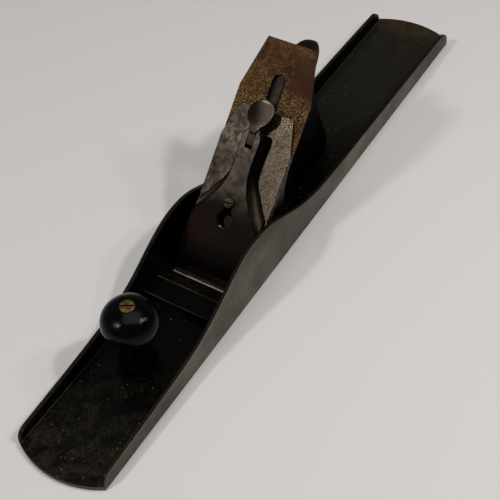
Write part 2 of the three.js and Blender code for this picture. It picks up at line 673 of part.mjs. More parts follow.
function lateralOutline(side) {
  const low = LATERAL_END.lowerRadius + side;
  const half = LATERAL.halfWidth + side;
  const end = LATERAL_END.at + side;
  const shape = new THREE.Shape();
  shape.absarc(-LATERAL.disc, 0, low, -Math.PI * 0.5, Math.PI * 0.5);
  shape.lineTo(-LATERAL.pivot, low);
  shape.quadraticCurveTo(-LATERAL.pivot - low, low * 0.9, -FROG.top - low, half);
  shape.lineTo(-end, half);
  shape.lineTo(-end, -half);
  shape.lineTo(-FROG.top - low, -half);
  shape.quadraticCurveTo(-LATERAL.pivot - low, -low * 0.9, -LATERAL.pivot, -low);
  return shape;
}

function lateralPocket() {
  const floor = lateralUnder() - LATERAL_POCKET.depthBelow;
  return plate(lateralOutline(LATERAL_POCKET.clearance), floor, FROG_FACE + OVERRUN);
}

function lateralPieces() {
  const top = lateralTop();
  const under = lateralUnder();
  const blank = plate(lateralOutline(0), under, top);
  const tabShape = new THREE.Shape();
  const tabHalf = LATERAL_END.tabHalf;
  const depth = LATERAL_END.tab;
  tabShape.moveTo(LATERAL.halfWidth, top);
  tabShape.lineTo(-LATERAL.halfWidth, top);
  tabShape.quadraticCurveTo(-tabHalf, top - depth * 0.15, -tabHalf, top - depth * 0.55);
  tabShape.quadraticCurveTo(-tabHalf * 0.8, top - depth, 0, top - depth);
  tabShape.quadraticCurveTo(tabHalf * 0.8, top - depth, tabHalf, top - depth * 0.55);
  tabShape.quadraticCurveTo(tabHalf, top - depth * 0.15, LATERAL.halfWidth, top);
  const tab = plate(tabShape, 0, LATERAL.thickness)
    .rotateX(Math.PI / 2)
    .rotateZ(Math.PI / 2)
    .translate(-LATERAL_END.at, 0, 0);
  const lever = cut(
    join(blank, tab),
    postZ(LATERAL_PIN.radius + RUNNING, under - OVERRUN, top + OVERRUN).translate(-LATERAL.pivot, 0, 0),
    postZ(LATERAL.discRadius * 0.4 + RUNNING, under - OVERRUN, top + OVERRUN).translate(-LATERAL.disc, 0, 0),
  );
  const pin = postZ(LATERAL_PIN.radius, under - LATERAL_PIN.depth, top).translate(-LATERAL.pivot, 0, 0);
  const disc = join(
    postZ(LATERAL.discRadius, top + GAP / 2, top + GAP / 2 + LATERAL.discHeight),
    postZ(LATERAL.discRadius * 0.4, under, top + GAP),
  ).translate([-LATERAL.disc, 0, 0]);
  return [
    piece("lateral_lever", lever, MATERIALS.steel),
    piece("lateral_pin", solid(pin), MATERIALS.steel),
    piece("lateral_disc", disc, MATERIALS.steel),
  ];
}

function taperedOutline(bottom, shoulder, top, half, topWidth) {
  return outline([
    [-bottom, -half],
    [-bottom, half],
    [-shoulder, half],
    [-top, topWidth / 2],
    [-top, -topWidth / 2],
    [-shoulder, -half],
  ]);
}

function planeIron() {
  const blank = plate(
    taperedOutline(IRON.retract, IRON.shoulder, IRON.length, IRON_HALF, IRON.topWidth),
    -IRON.thickness,
    0,
  );
  const half = IRON_HALF + OVERRUN;
  const bevel = across(
    [
      [OVERRUN, -IRON.thickness - OVERRUN],
      [OVERRUN, -BEVEL.edge],
      [-IRON.retract, -BEVEL.edge],
      [-IRON.retract - BEVEL.length, -IRON.thickness],
      [-IRON.retract - BEVEL.length, -IRON.thickness - OVERRUN],
    ],
    -half,
    half,
  );
  const slot = roundSlot(-SLOT_TOP, -IRON_SLOT.bottom, IRON_SLOT.width / 2, -IRON.thickness - OVERRUN, OVERRUN);
  const eye = postZ(IRON_SLOT.eye, -IRON.thickness - OVERRUN, OVERRUN).translate(-IRON_SLOT.bottom, 0, 0);
  return piece("plane_iron", cut(solid(blank), bevel, slot, eye), MATERIALS.rusty);
}

// Side view of the cap iron's curved lower end, lifted by a clearance
function capIronCurve(lift) {
  const low = CAP_IRON.edgeBack - lift;
  const top = CAP_IRON_TOP + lift;
  const peak = HUMP_OVER_EDGE.height + lift;
  return smooth(
    [
      [-CAP_IRON.flatFrom, top],
      [-HUMP_OVER_EDGE.rear, top + (peak - top) * 0.4],
      [-HUMP_OVER_EDGE.at, peak],
      [-HUMP_OVER_EDGE.front, top + (peak - top) * 0.55],
      [-low, CAP_IRON_UNDER],
    ],
    14,
  );
}

function capIron() {
  const half = IRON_HALF;
  const over = capIronCurve(0);
  const hollow = smooth(
    [
      [-HUMP_OVER_EDGE.front, CAP_IRON_UNDER],
      [-HUMP_OVER_EDGE.at, CAP_IRON_UNDER + HUMP_OVER_EDGE.height - CAP_IRON_TOP],
      [-HUMP_OVER_EDGE.rear, CAP_IRON_UNDER + (HUMP_OVER_EDGE.height - CAP_IRON_TOP) * 0.5],
      [-CAP_IRON.flatFrom, CAP_IRON_UNDER],
    ],
    10,
  );
  const strip = across(
    [[-CAP_IRON.top, CAP_IRON_UNDER], [-CAP_IRON.top, CAP_IRON_TOP], ...over.map((p) => [p.x, p.y])]
      .concat(hollow.map((p) => [p.x, p.y])),
    -half,
    half,
  );
  const shape = plate(
    taperedOutline(0, CAP_IRON.shoulder, CAP_IRON.top, IRON_HALF, CAP_IRON.topWidth),
    -OVERRUN,
    HUMP_OVER_EDGE.height + OVERRUN,
  );
  const low = CAP_IRON_UNDER - OVERRUN;
  const high = CAP_IRON_TOP + OVERRUN;
  const window = roundSlot(
    -LEVER_CAP_SCREW.at - CAP_IRON_WINDOW.halfLength,
    -LEVER_CAP_SCREW.at + CAP_IRON_WINDOW.halfLength,
    CAP_IRON_WINDOW.halfWidth,
    low,
    high,
  );
  const yokeWindow = block(
    -YOKE_FINGER.at - YOKE_WINDOW.halfLength,
    -YOKE_FINGER.at + YOKE_WINDOW.halfLength,
    -YOKE_WINDOW.halfWidth,
    YOKE_WINDOW.halfWidth,
    low,
    high,
  );
  const screwHole = postZ(CAP_SCREW.radius + RUNNING, low, high).translate(-CAP_SCREW.at, 0, 0);
  const body = cut(keep(solid(strip), shape), window, yokeWindow, screwHole);

  const headTop = -IRON.thickness - GAP;
  const head = slottedHead(CAP_SCREW.headRadius, CAP_SCREW.headHeight, CAP_SCREW.slot).rotate([180, 0, 0]);
  const screw = head
    .translate([-CAP_SCREW.at, 0, headTop])
    .add(solid(postZ(CAP_SCREW.radius, headTop - CAP_SCREW.headHeight / 4, CAP_IRON_TOP).translate(-CAP_SCREW.at, 0, 0)));
  return [piece("cap_iron", body, MATERIALS.capIron), piece("cap_iron_screw", screw, MATERIALS.steel)];
}

// Lever cap: its face tilts up the bed, its flanks flare out to the foot
const CAP_HALF_SHARES = [
  [0, 0.95], [0.025, 1], [0.2, 1], [0.34, 0.99], [0.375, 0.94], [0.41, 0.84], [0.455, 0.7], [0.51, 0.552],
  [0.56, 0.44], [0.61, 0.35], [0.68, 0.268], [0.76, 0.242], [0.86, 0.248], [0.94, 0.26], [0.975, 0.245], [1, 0.17],
];
const FLANK_SHARES = [0, 0.16, 0.36, 0.58, 0.8, 1];

const capFaceAt = (up) =>
  capLipUnder() + LEVER_CAP.lip + ((up - LEVER_CAP.bottom) / (LEVER_CAP.top - LEVER_CAP.bottom)) * LEVER_CAP.rise;
const capLipUnder = () => HUMP_OVER_EDGE.height + GAP;
const capFoot = () => CAP_IRON_TOP + LEVER_CAP_UNDER.above;

function capSide() {
  const length = LEVER_CAP.top - LEVER_CAP.bottom;
  return smooth(
    CAP_HALF_SHARES.map(([along, half]) => [LEVER_CAP.bottom + along * length, half * CAP_HALF]),
    28,
  );
}

// Closed surface through rings of equally many points, the first on top
function loft(rings) {
  const count = rings[0].length;
  const places = rings.flat().flatMap((p) => [p.x, p.y, p.z]);
  const faces = [];
  for (let ring = 0; ring + 1 < rings.length; ring += 1) {
    for (let i = 0; i < count; i += 1) {
      const a = ring * count + i;
      const b = ring * count + ((i + 1) % count);
      faces.push(a, a + count, b, b, a + count, b + count);
    }
  }
  const cap = (ring, flip) => {
    const shape = rings[ring].map((p) => flat(p.x, p.y));
    for (const [a, b, c] of THREE.ShapeUtils.triangulateShape(shape, [])) {
      const start = ring * count;
      faces.push(...(flip ? [start + a, start + c, start + b] : [start + a, start + b, start + c]));
    }
  };
  cap(0, false);
  cap(rings.length - 1, true);
  const geometry = new THREE.BufferGeometry();
  geometry.setAttribute("position", new THREE.BufferAttribute(new Float32Array(places), 3));
  geometry.setIndex(faces);
  return geometry;
}

// Rings of the lever cap between two stations, drawn in by a wall and dropped under the face
function capRings(from, to, wall, drop, foot) {
  const side = capSide();
  const widest = CAP_HALF;
  const inside = side.filter((p) => p.x > from && p.x < to);
  const at = (up) => {
    const next = side.findIndex((p) => p.x >= up);
    const a = side[Math.max(next - 1, 0)];
    const b = side[next < 0 ? side.length - 1 : next];
    const share = b.x > a.x ? (up - a.x) / (b.x - a.x) : 0;
    return flat(up, a.y + (b.y - a.y) * share);
  };
  const line = [at(from), ...inside, at(to)];
  return FLANK_SHARES.map((down) => {
    const spread = down * down * (3 - 2 * down);
    const half = line.map((p, i) => {
      const more = 1 - THREE.MathUtils.smoothstep(p.x, FLARE_MORE.below, FLARE_MORE.gone);
      const swell = spread * (LEVER_CAP.flare + FLARE_MORE.by * more);
      const a = line[Math.max(i - 1, 0)];
      const b = line[Math.min(i + 1, line.length - 1)];
      const run = Math.hypot(b.x - a.x, b.y - a.y);
      const normal = flat(-(b.y - a.y) / run, (b.x - a.x) / run);
      const up = THREE.MathUtils.clamp(p.x + normal.x * swell, from, to);
      const out = Math.min(p.y + normal.y * swell, widest) - wall;
      const face = capFaceAt(up) - drop;
      return new THREE.Vector3(-up, out, face + (foot - face) * down);
    });
    const mirrored = half.map((p) => new THREE.Vector3(p.x, -p.y, p.z));
    return [...half, ...mirrored.reverse()];
  });
}

function leverCap() {
  const foot = capFoot();
  const shell = loft(capRings(LEVER_CAP.bottom, LEVER_CAP.top, 0, 0, foot));
  const hollow = loft(
    capRings(
      LEVER_CAP_UNDER.hollowFrom,
      LEVER_CAP_UNDER.hollowTo,
      LEVER_CAP.wall,
      LEVER_CAP.roof,
      foot - GAP,
    ),
  );
  const half = CAP_HALF + OVERRUN;
  const underHump = across(
    [
      [OVERRUN, -OVERRUN],
      [-CAP_IRON.edgeBack + OVERRUN, HUMP_OVER_EDGE.height + GAP],
      [-HUMP_OVER_EDGE.at, capLipUnder()],
      [-HUMP_OVER_EDGE.rear, capLipUnder()],
      [-CAP_IRON.flatFrom - LEVER_CAP_UNDER.footRadius, foot],
      [-CAP_IRON.flatFrom - LEVER_CAP_UNDER.footRadius, -OVERRUN],
    ],
    -half,
    half,
  );
  const faceHigh = capFaceAt(LEVER_CAP.top) + OVERRUN;
  const eye = postZ(KEYHOLE.eyeRadius, 0, faceHigh).translate(KEYHOLE.drop - LEVER_CAP_SCREW.at, 0, 0);
  const slot = roundSlot(
    -LEVER_CAP_SCREW.at - KEYHOLE.slotHalf,
    KEYHOLE.drop - LEVER_CAP_SCREW.at,
    KEYHOLE.slotHalf,
    0,
    faceHigh,
  );
  const camHalf = CAM.halfWidth + CAM.slotSide;
  const camSlot = block(-LEVER_CAP.top - OVERRUN, CAM.slotBelow - CAM.at, -camHalf, camHalf, 0, faceHigh);
  const noseFace = capFaceAt(NOSE.from);
  const noseRun = NOSE.from - LEVER_CAP.bottom;
  const noseCurve = [];
  for (let i = 0; i <= NOSE_STEPS; i += 1) {
    const share = i / NOSE_STEPS;
    const drop = share * share * NOSE.drop;
    noseCurve.push([share * noseRun - NOSE.from, capFaceAt(NOSE.from - share * noseRun) - drop]);
  }
  const noseCutter = [
    ...noseCurve,
    [OVERRUN, noseCurve[NOSE_STEPS][1]],
    [OVERRUN, noseFace + OVERRUN],
    [-NOSE.from, noseFace + OVERRUN],
  ];
  const nose = across(noseCutter, -half, half);
  const pinHole = pinY(CAM_PIN.radius + RUNNING, -half, half).translate(-CAM.at, 0, CAM.height);
  const rivetTop = capFaceAt(SPRING.rivetAt) - RIVET_SKIN;
  const rivetHole = postZ(SPRING.rivetRadius + RUNNING, 0, rivetTop).translate(-SPRING.rivetAt, 0, 0);
  const body = cut(solid(shell), hollow, underHump, nose, eye, slot, camSlot, pinHole, rivetHole);
  return piece("lever_cap", body, MATERIALS.steel);
}

function leverCapScrew() {
  const seat = capFaceAt(LEVER_CAP_SCREW.at + LEVER_CAP_SCREW.headRadius) + GAP;
  const head = slottedHead(LEVER_CAP_SCREW.headRadius, LEVER_CAP_SCREW.headHeight, LEVER_CAP_SCREW.slot);
  const screw = head
    .translate([0, 0, seat])
    .add(solid(postZ(LEVER_CAP_SCREW.radius, -LEVER_CAP_SCREW.thread, seat + LEVER_CAP_SCREW.headHeight / 4)));
  const mesh = piece("lever_cap_screw", screw, MATERIALS.brass);
  mesh.position.set(-LEVER_CAP_SCREW.at, 0, 0);
  mesh.rotation.z = LEVER_CAP_SCREW.slotTurn;
  return mesh;
}

// Outline of the thumb piece, from its neck up the bed: shares of its length and half width
const THUMB_SHARES = [
  [0, 0.36], [0.12, 0.46], [0.28, 0.78], [0.44, 0.96], [0.6, 1], [0.76, 0.92], [0.89, 0.68], [0.97, 0.35], [1, 0],
];
// Side view of the thumb piece's upper face: shares of its length, and of its fall counted from the end
const THUMB_BEND_SHARES = [[-0.02, 1], [0.15, 0.98], [0.35, 0.84], [0.55, 0.58], [0.75, 0.26], [0.9, 0.06], [1, 0.04]];
const STEM_SHARES = [
  [-0.55, 0.3], [-0.5, 0.62], [-0.1, 0.83], [0.55, 1], [1, 1], [1, 0.62], [0.55, 0.48], [0.3, 0.1], [0.26, -0.2],
];

function camLever() {
  const side = smooth(
    THUMB_SHARES.map(([along, half]) => [-THUMB.from - along * THUMB.length, (half * THUMB.width) / 2]),
    20,
  );
  const thumbShape = outline([...side, ...side.slice(0, -1).reverse().map((p) => flat(p.x, -p.y))]);
  const bend = smooth(
    THUMB_BEND_SHARES.map(([along, up]) => [-THUMB.from - along * THUMB.length, THUMB.height - THUMB.fall * (1 - up)]),
    14,
  );
  const under = bend.map((p) => flat(p.x, p.y - THUMB.thickness));
  const strip = across([...bend, ...under.reverse()], -THUMB.width, THUMB.width);
  const high = THUMB.height + OVERRUN;
  const thumb = keep(solid(strip), plate(thumbShape, 0, high));
  const reach = THUMB.from - CAM.at + THUMB.thickness;
  const rise = THUMB.height - CAM.height;
  const stem = across(
    STEM_SHARES.map(([along, up]) => [-CAM.at - along * reach, CAM.height + up * rise]),
    -CAM.halfWidth,
    CAM.halfWidth,
  );
  const cam = pinY(CAM.radius, -CAM.halfWidth, CAM.halfWidth).translate(-CAM.at, 0, CAM.height - CAM.throw);
  const bore = pinY(CAM_PIN.radius + RUNNING, -THUMB.width, THUMB.width).translate(-CAM.at, 0, CAM.height);
  return piece("cam_lever", cut(join(stem, cam).add(thumb), bore), MATERIALS.steel);
}

function camPin() {
  const side = capSide();
  const ear = side.reduce((best, p) => (Math.abs(p.x - CAM.at) < Math.abs(best.x - CAM.at) ? p : best));
  const reach = ear.y - CAM_PIN.headIn;
  return piece("cam_pin", solid(pinY(CAM_PIN.radius, -reach, reach).translate(-CAM.at, 0, CAM.height)), MATERIALS.steel);
}

function capSpring() {
  const tip = CAP_IRON_TOP + GAP;
  const roof = capFaceAt(SPRING.rivetAt) - LEVER_CAP.roof - GAP - SPRING.thickness;
  const roofRise = (capFaceAt(SPRING.rivetAt + SPRING.rivetRadius * 2) - capFaceAt(SPRING.rivetAt)) / 2;
  const middle = (SPRING.rivetAt + SPRING.rivetRadius * 2 + SPRING.bend) / 2;
  const under = smooth(
    [
      [-SPRING.from, roof - 3 * roofRise],
      [-SPRING.rivetAt, roof],
      [-SPRING.rivetAt - SPRING.rivetRadius * 2, roof + roofRise],
      [-middle, (roof + tip) / 2],
      [-SPRING.bend, tip + roofRise],
      [-CAM.at, tip],
      [-SPRING.to, tip + roofRise],
    ],
    22,
  );
  const over = under.map((p) => flat(p.x, p.y + SPRING.thickness));
  const half = SPRING.width / 2;
  const leaf = cut(
    solid(across([...under, ...over.reverse()].map((p) => [p.x, p.y]), -half, half)),
    postZ(SPRING.rivetRadius + RUNNING, 0, LEVER_CAP.top).translate(-SPRING.rivetAt, 0, 0),
  );
  const rivetHead = join(
    postZ(SPRING.rivetRadius, roof, capFaceAt(SPRING.rivetAt) - RIVET_SKIN - GAP),
    postZ(SPRING.rivetRadius * 1.5, roof - GAP - SPRING.thickness, roof - GAP),
    postZ(SPRING.rivetRadius, roof - GAP - SPRING.thickness / 2, roof + SPRING.thickness),
  ).translate([-SPRING.rivetAt, 0, 0]);
  return [piece("cap_spring", leaf, MATERIALS.steel), piece("spring_rivet", rivetHead, MATERIALS.steel)];
}

// Front knob with its rod and brass nut
const KNOB_NECK_SHARES = [
  [1, 0], [1, 0.09], [0.9, 0.15], [0.74, 0.27], [0.66, 0.42], [0.66, 0.55],
];

function frontKnob() {
  const seat = SOLE.thickness + KNOB_BOSS.height + GAP;
  const middle = KNOB.top - KNOB.ballHalfHeight;
  const neckTop = middle - KNOB.ballHalfHeight;
  const stem = KNOB_NECK_SHARES.map(([out, up]) => [out * KNOB.baseRadius, seat + up * (middle - seat)]);
  const start = Math.asin(KNOB.neckRadius / KNOB.ballRadius);
  const ball = [];
  for (let i = 0; i <= BALL_STEPS; i += 1) {
    const turn = start + (i / BALL_STEPS) * (Math.PI * 0.97 - start);
    const out = Math.sin(turn) ** BALL_FULLNESS_SHARE;
    const up = -Math.sign(Math.cos(turn)) * Math.abs(Math.cos(turn)) ** BALL_FULLNESS_SHARE;
    ball.push([KNOB.ballRadius * out, middle + KNOB.ballHalfHeight * up]);
  }
  const neck = stem.filter(([, z]) => z < neckTop);
  const profile = [[0, seat], ...neck, ...ball, [0, ball[BALL_STEPS][1]]];
  const knob = cut(
    solid(turned(profile)),
    postZ(ROD.radius + RUNNING, 0, KNOB.top + OVERRUN),
    postZ(KNOB_NUT.barrelRadius + RUNNING, KNOB.top - KNOB_NUT.barrel - KNOB_NUT.head - GAP, KNOB.top + OVERRUN),
    postZ(KNOB_NUT.radius + RUNNING, KNOB.top - KNOB_NUT.head, KNOB.top + OVERRUN),
  );
  const mesh = piece("front_knob", knob, MATERIALS.wood);
  mesh.position.x = KNOB_X;
  return mesh;
}

// Brass barrel nut, its head's underside at z = 0
function barrelNut(radius, head) {
  const bore = ROD.radius + RUNNING;
  const body = slottedHead(radius, head + KNOB_NUT.proud, KNOB_NUT.slot).add(
    solid(postZ(KNOB_NUT.barrelRadius, -KNOB_NUT.barrel, head / 4)),
  );
  return cut(body, postZ(bore, -KNOB_NUT.barrel - OVERRUN, -KNOB_NUT.barrel + NUT_TO_ROD));
}

function knobFasteners() {
  const seat = KNOB.top - KNOB_NUT.head + GAP;
  const rodTop = seat - KNOB_NUT.barrel + NUT_TO_ROD - GAP;
  const rod = piece("knob_rod", solid(postZ(ROD.radius, ROD.skin + GAP, rodTop)), MATERIALS.steel);
  const nut = piece("knob_nut", barrelNut(KNOB_NUT.radius, KNOB_NUT.head).translate([0, 0, seat]), MATERIALS.brass);
  rod.position.x = KNOB_X;
  nut.position.x = KNOB_X;
  nut.rotation.z = KNOB_NUT.slotTurn;
  return [rod, nut];
}

// Tote: rungs from its front edge to its rear edge, rising to the horn. Each gives the places of its two
// ends as shares of the length behind the front and of the height over the bed, then its share of the width.
const TOTE_RUNG_SHARES = [
  [0, 0, 1.015, 0, 1], [0.02, 0.06, 1.012, 0.06, 1], [0.09, 0.105, 0.992, 0.115, 1], [0.2, 0.14, 0.962, 0.16, 1],
  [0.29, 0.2, 0.925, 0.22, 1], [0.345, 0.3, 0.866, 0.315, 0.98], [0.378, 0.42, 0.796, 0.43, 0.95],
  [0.39, 0.55, 0.742, 0.56, 0.92], [0.38, 0.67, 0.718, 0.67, 0.91], [0.364, 0.77, 0.73, 0.755, 0.9],
  [0.365, 0.85, 0.768, 0.805, 0.88], [0.4, 0.92, 0.82, 0.835, 0.84], [0.49, 0.975, 0.864, 0.856, 0.72],
  [0.6, 0.99, 0.886, 0.874, 0.57], [0.71, 0.984, 0.89, 0.9, 0.41], [0.79, 0.962, 0.88, 0.92, 0.24],
];

// Moves a shape drawn about its own axis onto the leaning axis of the tote's rod
function toteAxis(geometry) {
  const rise = TOTE_ROD.top;
  const lean = Math.atan2(TOTE_ROD.footBehindFront - TOTE_ROD.topBehindFront, rise);
  return geometry.rotateY(lean).translate(TOTE_FRONT_X - TOTE_ROD.footBehindFront, 0, 0);
}

function toteRing([frontBehind, frontUp, rearBehind, rearUp, wide], seat) {
  const front = flat(TOTE_FRONT_X - frontBehind * TOTE.length, seat + frontUp * TOTE.height);
  const rear = flat(TOTE_FRONT_X - rearBehind * TOTE.length, seat + rearUp * TOTE.height);
  const ring = [];
  for (let i = 0; i < TOTE_AROUND_STEPS; i += 1) {
    const turn = ((i + 0.5) / TOTE_AROUND_STEPS) * Math.PI * 2;
    const along = Math.sign(Math.cos(turn)) * Math.abs(Math.cos(turn)) ** TOTE_ROUNDING_SHARE;
    const aside = Math.sign(Math.sin(turn)) * Math.abs(Math.sin(turn)) ** TOTE_ROUNDING_SHARE;
    const share = (along + 1) / 2;
    ring.push(
      new THREE.Vector3(
        rear.x + (front.x - rear.x) * share,
        (aside * wide * TOTE.width) / 2,
        rear.y + (front.y - rear.y) * share,
      ),
    );
  }
  return ring;
}

// Values of a table of shares at evenly spread places along a smooth curve through its rows
function spreadRows(rows, count) {
  const curves = rows[0].map((_, column) => new THREE.SplineCurve(rows.map((row, i) => flat(i, row[column]))));
  const spread = [];
  for (let i = 0; i <= count; i += 1) spread.push(curves.map((curve) => curve.getPoint(i / count).y));
  return spread;
}

function tote() {
  const seat = SOLE.thickness + TOTE_PAD.height + GAP;
  const rungs = spreadRows(TOTE_RUNG_SHARES, TOTE_RUNG_STEPS);
  const handle = loft(rungs.map((rung) => toteRing(rung, seat)).reverse());
  const half = TOTE.width;
  const bed = block(-HALF, HALF, -half, half, -OVERRUN, seat);
  const nutSeat = TOTE_ROD.top;
  const toeX = TOTE_FRONT_X - TOE_SCREW.behindFront;
  const toeTop = seat + TOE_SCREW.top;
  const bores = [
    toteAxis(postZ(ROD.radius + RUNNING, 0, nutSeat)),
    toteAxis(postZ(KNOB_NUT.barrelRadius + RUNNING, nutSeat - KNOB_NUT.barrel - GAP, nutSeat + OVERRUN)),
    toteAxis(postZ(TOTE_NUT.radius + RUNNING, nutSeat, nutSeat + TOTE.width)),
    postZ(TOE_SCREW.radius + RUNNING, 0, toeTop + TOTE.width).translate(toeX, 0, 0),
    postZ(TOE_SCREW.headRadius + RUNNING, toeTop - TOE_SCREW.sink, toeTop + TOTE.width / 2).translate(toeX, 0, 0),
  ];
  return piece("tote", cut(solid(handle), bed, ...bores), MATERIALS.wood);
}

function toteFasteners() {
  const group = new THREE.Group();
  group.position.x = TOTE_FRONT_X - TOTE_ROD.footBehindFront;
  group.rotation.y = Math.atan2(TOTE_ROD.footBehindFront - TOTE_ROD.topBehindFront, TOTE_ROD.top);
  const seat = TOTE_ROD.top + GAP;
  const rodTop = seat - KNOB_NUT.barrel + NUT_TO_ROD - GAP;
  group.add(piece("tote_rod", solid(postZ(ROD.radius, ROD.skin + 2 * GAP, rodTop)), MATERIALS.steel));
  group.add(piece("tote_nut", barrelNut(TOTE_NUT.radius, TOTE_NUT.head).translate([0, 0, seat]), MATERIALS.brass));
  const under = SOLE.thickness + TOTE_PAD.height + GAP + TOE_SCREW.top - TOE_SCREW.sink + GAP;
  const head = slottedHead(TOE_SCREW.headRadius, TOE_SCREW.headHeight, TOE_SCREW.slot);
  const screw = head
    .translate([0, 0, under])
    .add(solid(postZ(TOE_SCREW.radius, ROD.skin + GAP, under + TOE_SCREW.headHeight / 4)));
  const toe = piece("tote_toe_screw", screw, MATERIALS.steel);
  toe.position.x = TOTE_FRONT_X - TOE_SCREW.behindFront;
  return [group, toe];
}

const plane = new THREE.Group();
plane.add(bodyCasting(), frogCasting(), ...frogFasteners(), adjusterStud(), adjusterNut(), ...depthYoke());
plane.add(frontKnob(), ...knobFasteners(), tote(), ...toteFasteners());

const onBed = new THREE.Group();
onBed.position.x = MOUTH_X;
onBed.rotation.y = BED_ANGLE;
onBed.add(...lateralPieces(), planeIron(), ...capIron(), leverCap(), leverCapScrew());
onBed.add(camLever(), camPin(), ...capSpring());
plane.add(onBed);

export default plane;
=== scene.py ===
import math

import bpy
from mathutils import Euler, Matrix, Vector


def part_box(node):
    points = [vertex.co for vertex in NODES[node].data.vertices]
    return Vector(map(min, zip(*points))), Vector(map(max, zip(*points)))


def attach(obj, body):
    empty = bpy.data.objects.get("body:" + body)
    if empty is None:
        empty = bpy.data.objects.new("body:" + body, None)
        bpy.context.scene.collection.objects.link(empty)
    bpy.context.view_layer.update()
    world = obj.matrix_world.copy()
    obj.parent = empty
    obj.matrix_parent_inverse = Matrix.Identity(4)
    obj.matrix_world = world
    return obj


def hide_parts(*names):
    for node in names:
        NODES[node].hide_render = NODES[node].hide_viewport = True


bl_info = {
    "name": "Jointer plane",
    "version": (1, 0, 0),
    "blender": (4, 5, 0),
    "location": "View3D > Sidebar > Jointer plane",
    "description": "Models and finishes a long cast-iron bench plane, piece by piece",
    "category": "Add Mesh",
}

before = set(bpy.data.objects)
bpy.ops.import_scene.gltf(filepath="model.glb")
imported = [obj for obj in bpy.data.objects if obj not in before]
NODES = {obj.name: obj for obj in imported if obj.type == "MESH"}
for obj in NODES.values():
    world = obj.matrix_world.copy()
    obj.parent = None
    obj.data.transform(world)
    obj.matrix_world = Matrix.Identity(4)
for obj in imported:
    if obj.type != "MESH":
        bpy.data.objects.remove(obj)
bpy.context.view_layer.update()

MM = 0.001
MOUTH_X = 0.089  # where the iron's edge meets the sole
BED_ANGLE = math.radians(45)
BED_NORMAL = (1, 0, 1)
UP = (0, 0, 1)


# Selecting and shaping

MERGE_DISTANCE = 0.00002
FLAT_ANGLE = math.radians(0.4)  # faces of a CAD copy that meet at less than this become one
EDGE_ANGLE = math.radians(32)  # sharper meetings are edges to round
SOFT_ANGLE = math.radians(60)  # the same for hand-shaped pieces


def alone(piece):
    """Makes one object the only one selected, and active."""
    for other in bpy.context.selected_objects:
        other.select_set(False)
    if piece is not None:
        piece.select_set(True)
        bpy.context.view_layer.objects.active = piece


def modify(piece, kind, **settings):
    """Adds a modifier with these settings and applies it."""
    alone(piece)
    modifier = piece.modifiers.new(kind.title(), kind)
    for name, value in settings.items():
        setattr(modifier, name, value)
    bpy.ops.object.modifier_apply(modifier=modifier.name)


def place_applied(piece):
    """Puts a finished piece's origin at the frame's, unrotated and unscaled."""
    alone(piece)
    bpy.ops.object.transform_apply(location=True, rotation=True, scale=True)


def copy_of(node):
    """A merged copy of a CAD node's mesh, as an object of its own."""
    piece = bpy.data.objects.new(node + "_shown", NODES[node].data.copy())
    bpy.context.scene.collection.objects.link(piece)
    piece.data.materials.clear()
    alone(piece)
    bpy.ops.object.mode_set(mode="EDIT")
    bpy.ops.mesh.select_all(action="SELECT")
    bpy.ops.mesh.remove_doubles(threshold=MERGE_DISTANCE)
    bpy.ops.mesh.dissolve_limited(angle_limit=FLAT_ANGLE)
    bpy.ops.object.mode_set(mode="OBJECT")
    return piece


def eased(piece, width):
    """Rounds a piece's sharp edges and shades its wide faces flat and its roundings smooth."""
    modify(
        piece,
        "BEVEL",
        width=width,
        segments=2,
        limit_method="ANGLE",
        angle_limit=EDGE_ANGLE,
        use_clamp_overlap=True,
        miter_outer="MITER_ARC",
    )
    alone(piece)
    bpy.ops.object.shade_smooth_by_angle(angle=EDGE_ANGLE)
    modify(piece, "WEIGHTED_NORMAL", mode="FACE_AREA_WITH_ANGLE", weight=100, keep_sharp=True)


def softened(piece, grid, rounds):
    """Remeshes a piece on an even grid and smooths it, as a hand-shaped thing is."""
    modify(piece, "REMESH", mode="VOXEL", voxel_size=grid, use_smooth_shade=True)
    modify(piece, "SMOOTH", factor=0.5, iterations=rounds)
    alone(piece)
    bpy.ops.object.shade_smooth_by_angle(angle=SOFT_ANGLE)


def turned_piece(name, middle, profile, sides=64):
    """A round piece, extruded ring by ring up a profile of radius and height."""
    radius, height = profile[0]
    alone(None)
    bpy.ops.mesh.primitive_circle_add(
        vertices=sides, radius=radius, fill_type="NGON", location=(middle[0], middle[1], height)
    )
    piece = bpy.context.object
    piece.name = name
    bpy.ops.object.mode_set(mode="EDIT")
    bpy.ops.mesh.select_all(action="SELECT")
    for wide, high in profile[1:]:
        bpy.ops.mesh.extrude_region_move(TRANSFORM_OT_translate={"value": (0, 0, high - height)})
        widen = wide / radius
        bpy.ops.transform.resize(value=(widen, widen, 1), center_override=(middle[0], middle[1], high))
        radius, height = wide, high
    bpy.ops.mesh.select_all(action="SELECT")
    bpy.ops.mesh.normals_make_consistent(inside=False)
    bpy.ops.object.mode_set(mode="OBJECT")
    place_applied(piece)
    return piece


DRILL_SIDES = 49  # odd, so that few of the drill's edges line up with the piece's


def bore(piece, radius, low, high, middle):
    """Drills a round hole into a piece, from one height to another."""
    drill = turned_piece("drill", middle, [(radius, low), (radius, high)], DRILL_SIDES)
    modify(piece, "BOOLEAN", object=drill, operation="DIFFERENCE", solver="EXACT")
    bpy.data.objects.remove(drill)


def put(piece, body, material, slot, *replaced):
    """Gives a piece its finish and its body, and hides the nodes that it stands for. The slot is not used.
    """
    piece.data.materials.clear()
    piece.data.materials.append(material)
    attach(piece, body)
    if replaced:
        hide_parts(*replaced)
    return piece


STEEP = 0.5  # a face is a wall when its direction is less than this along the screw
SLOT_REACH = 0.86  # a slot's walls lie within this share of the head's radius
SLOT_FLOOR_REACH = 0.5  # and its floor within this one
SLOT_FLOOR_DEPTH = 0.4  # which is lower than this share of the head's height


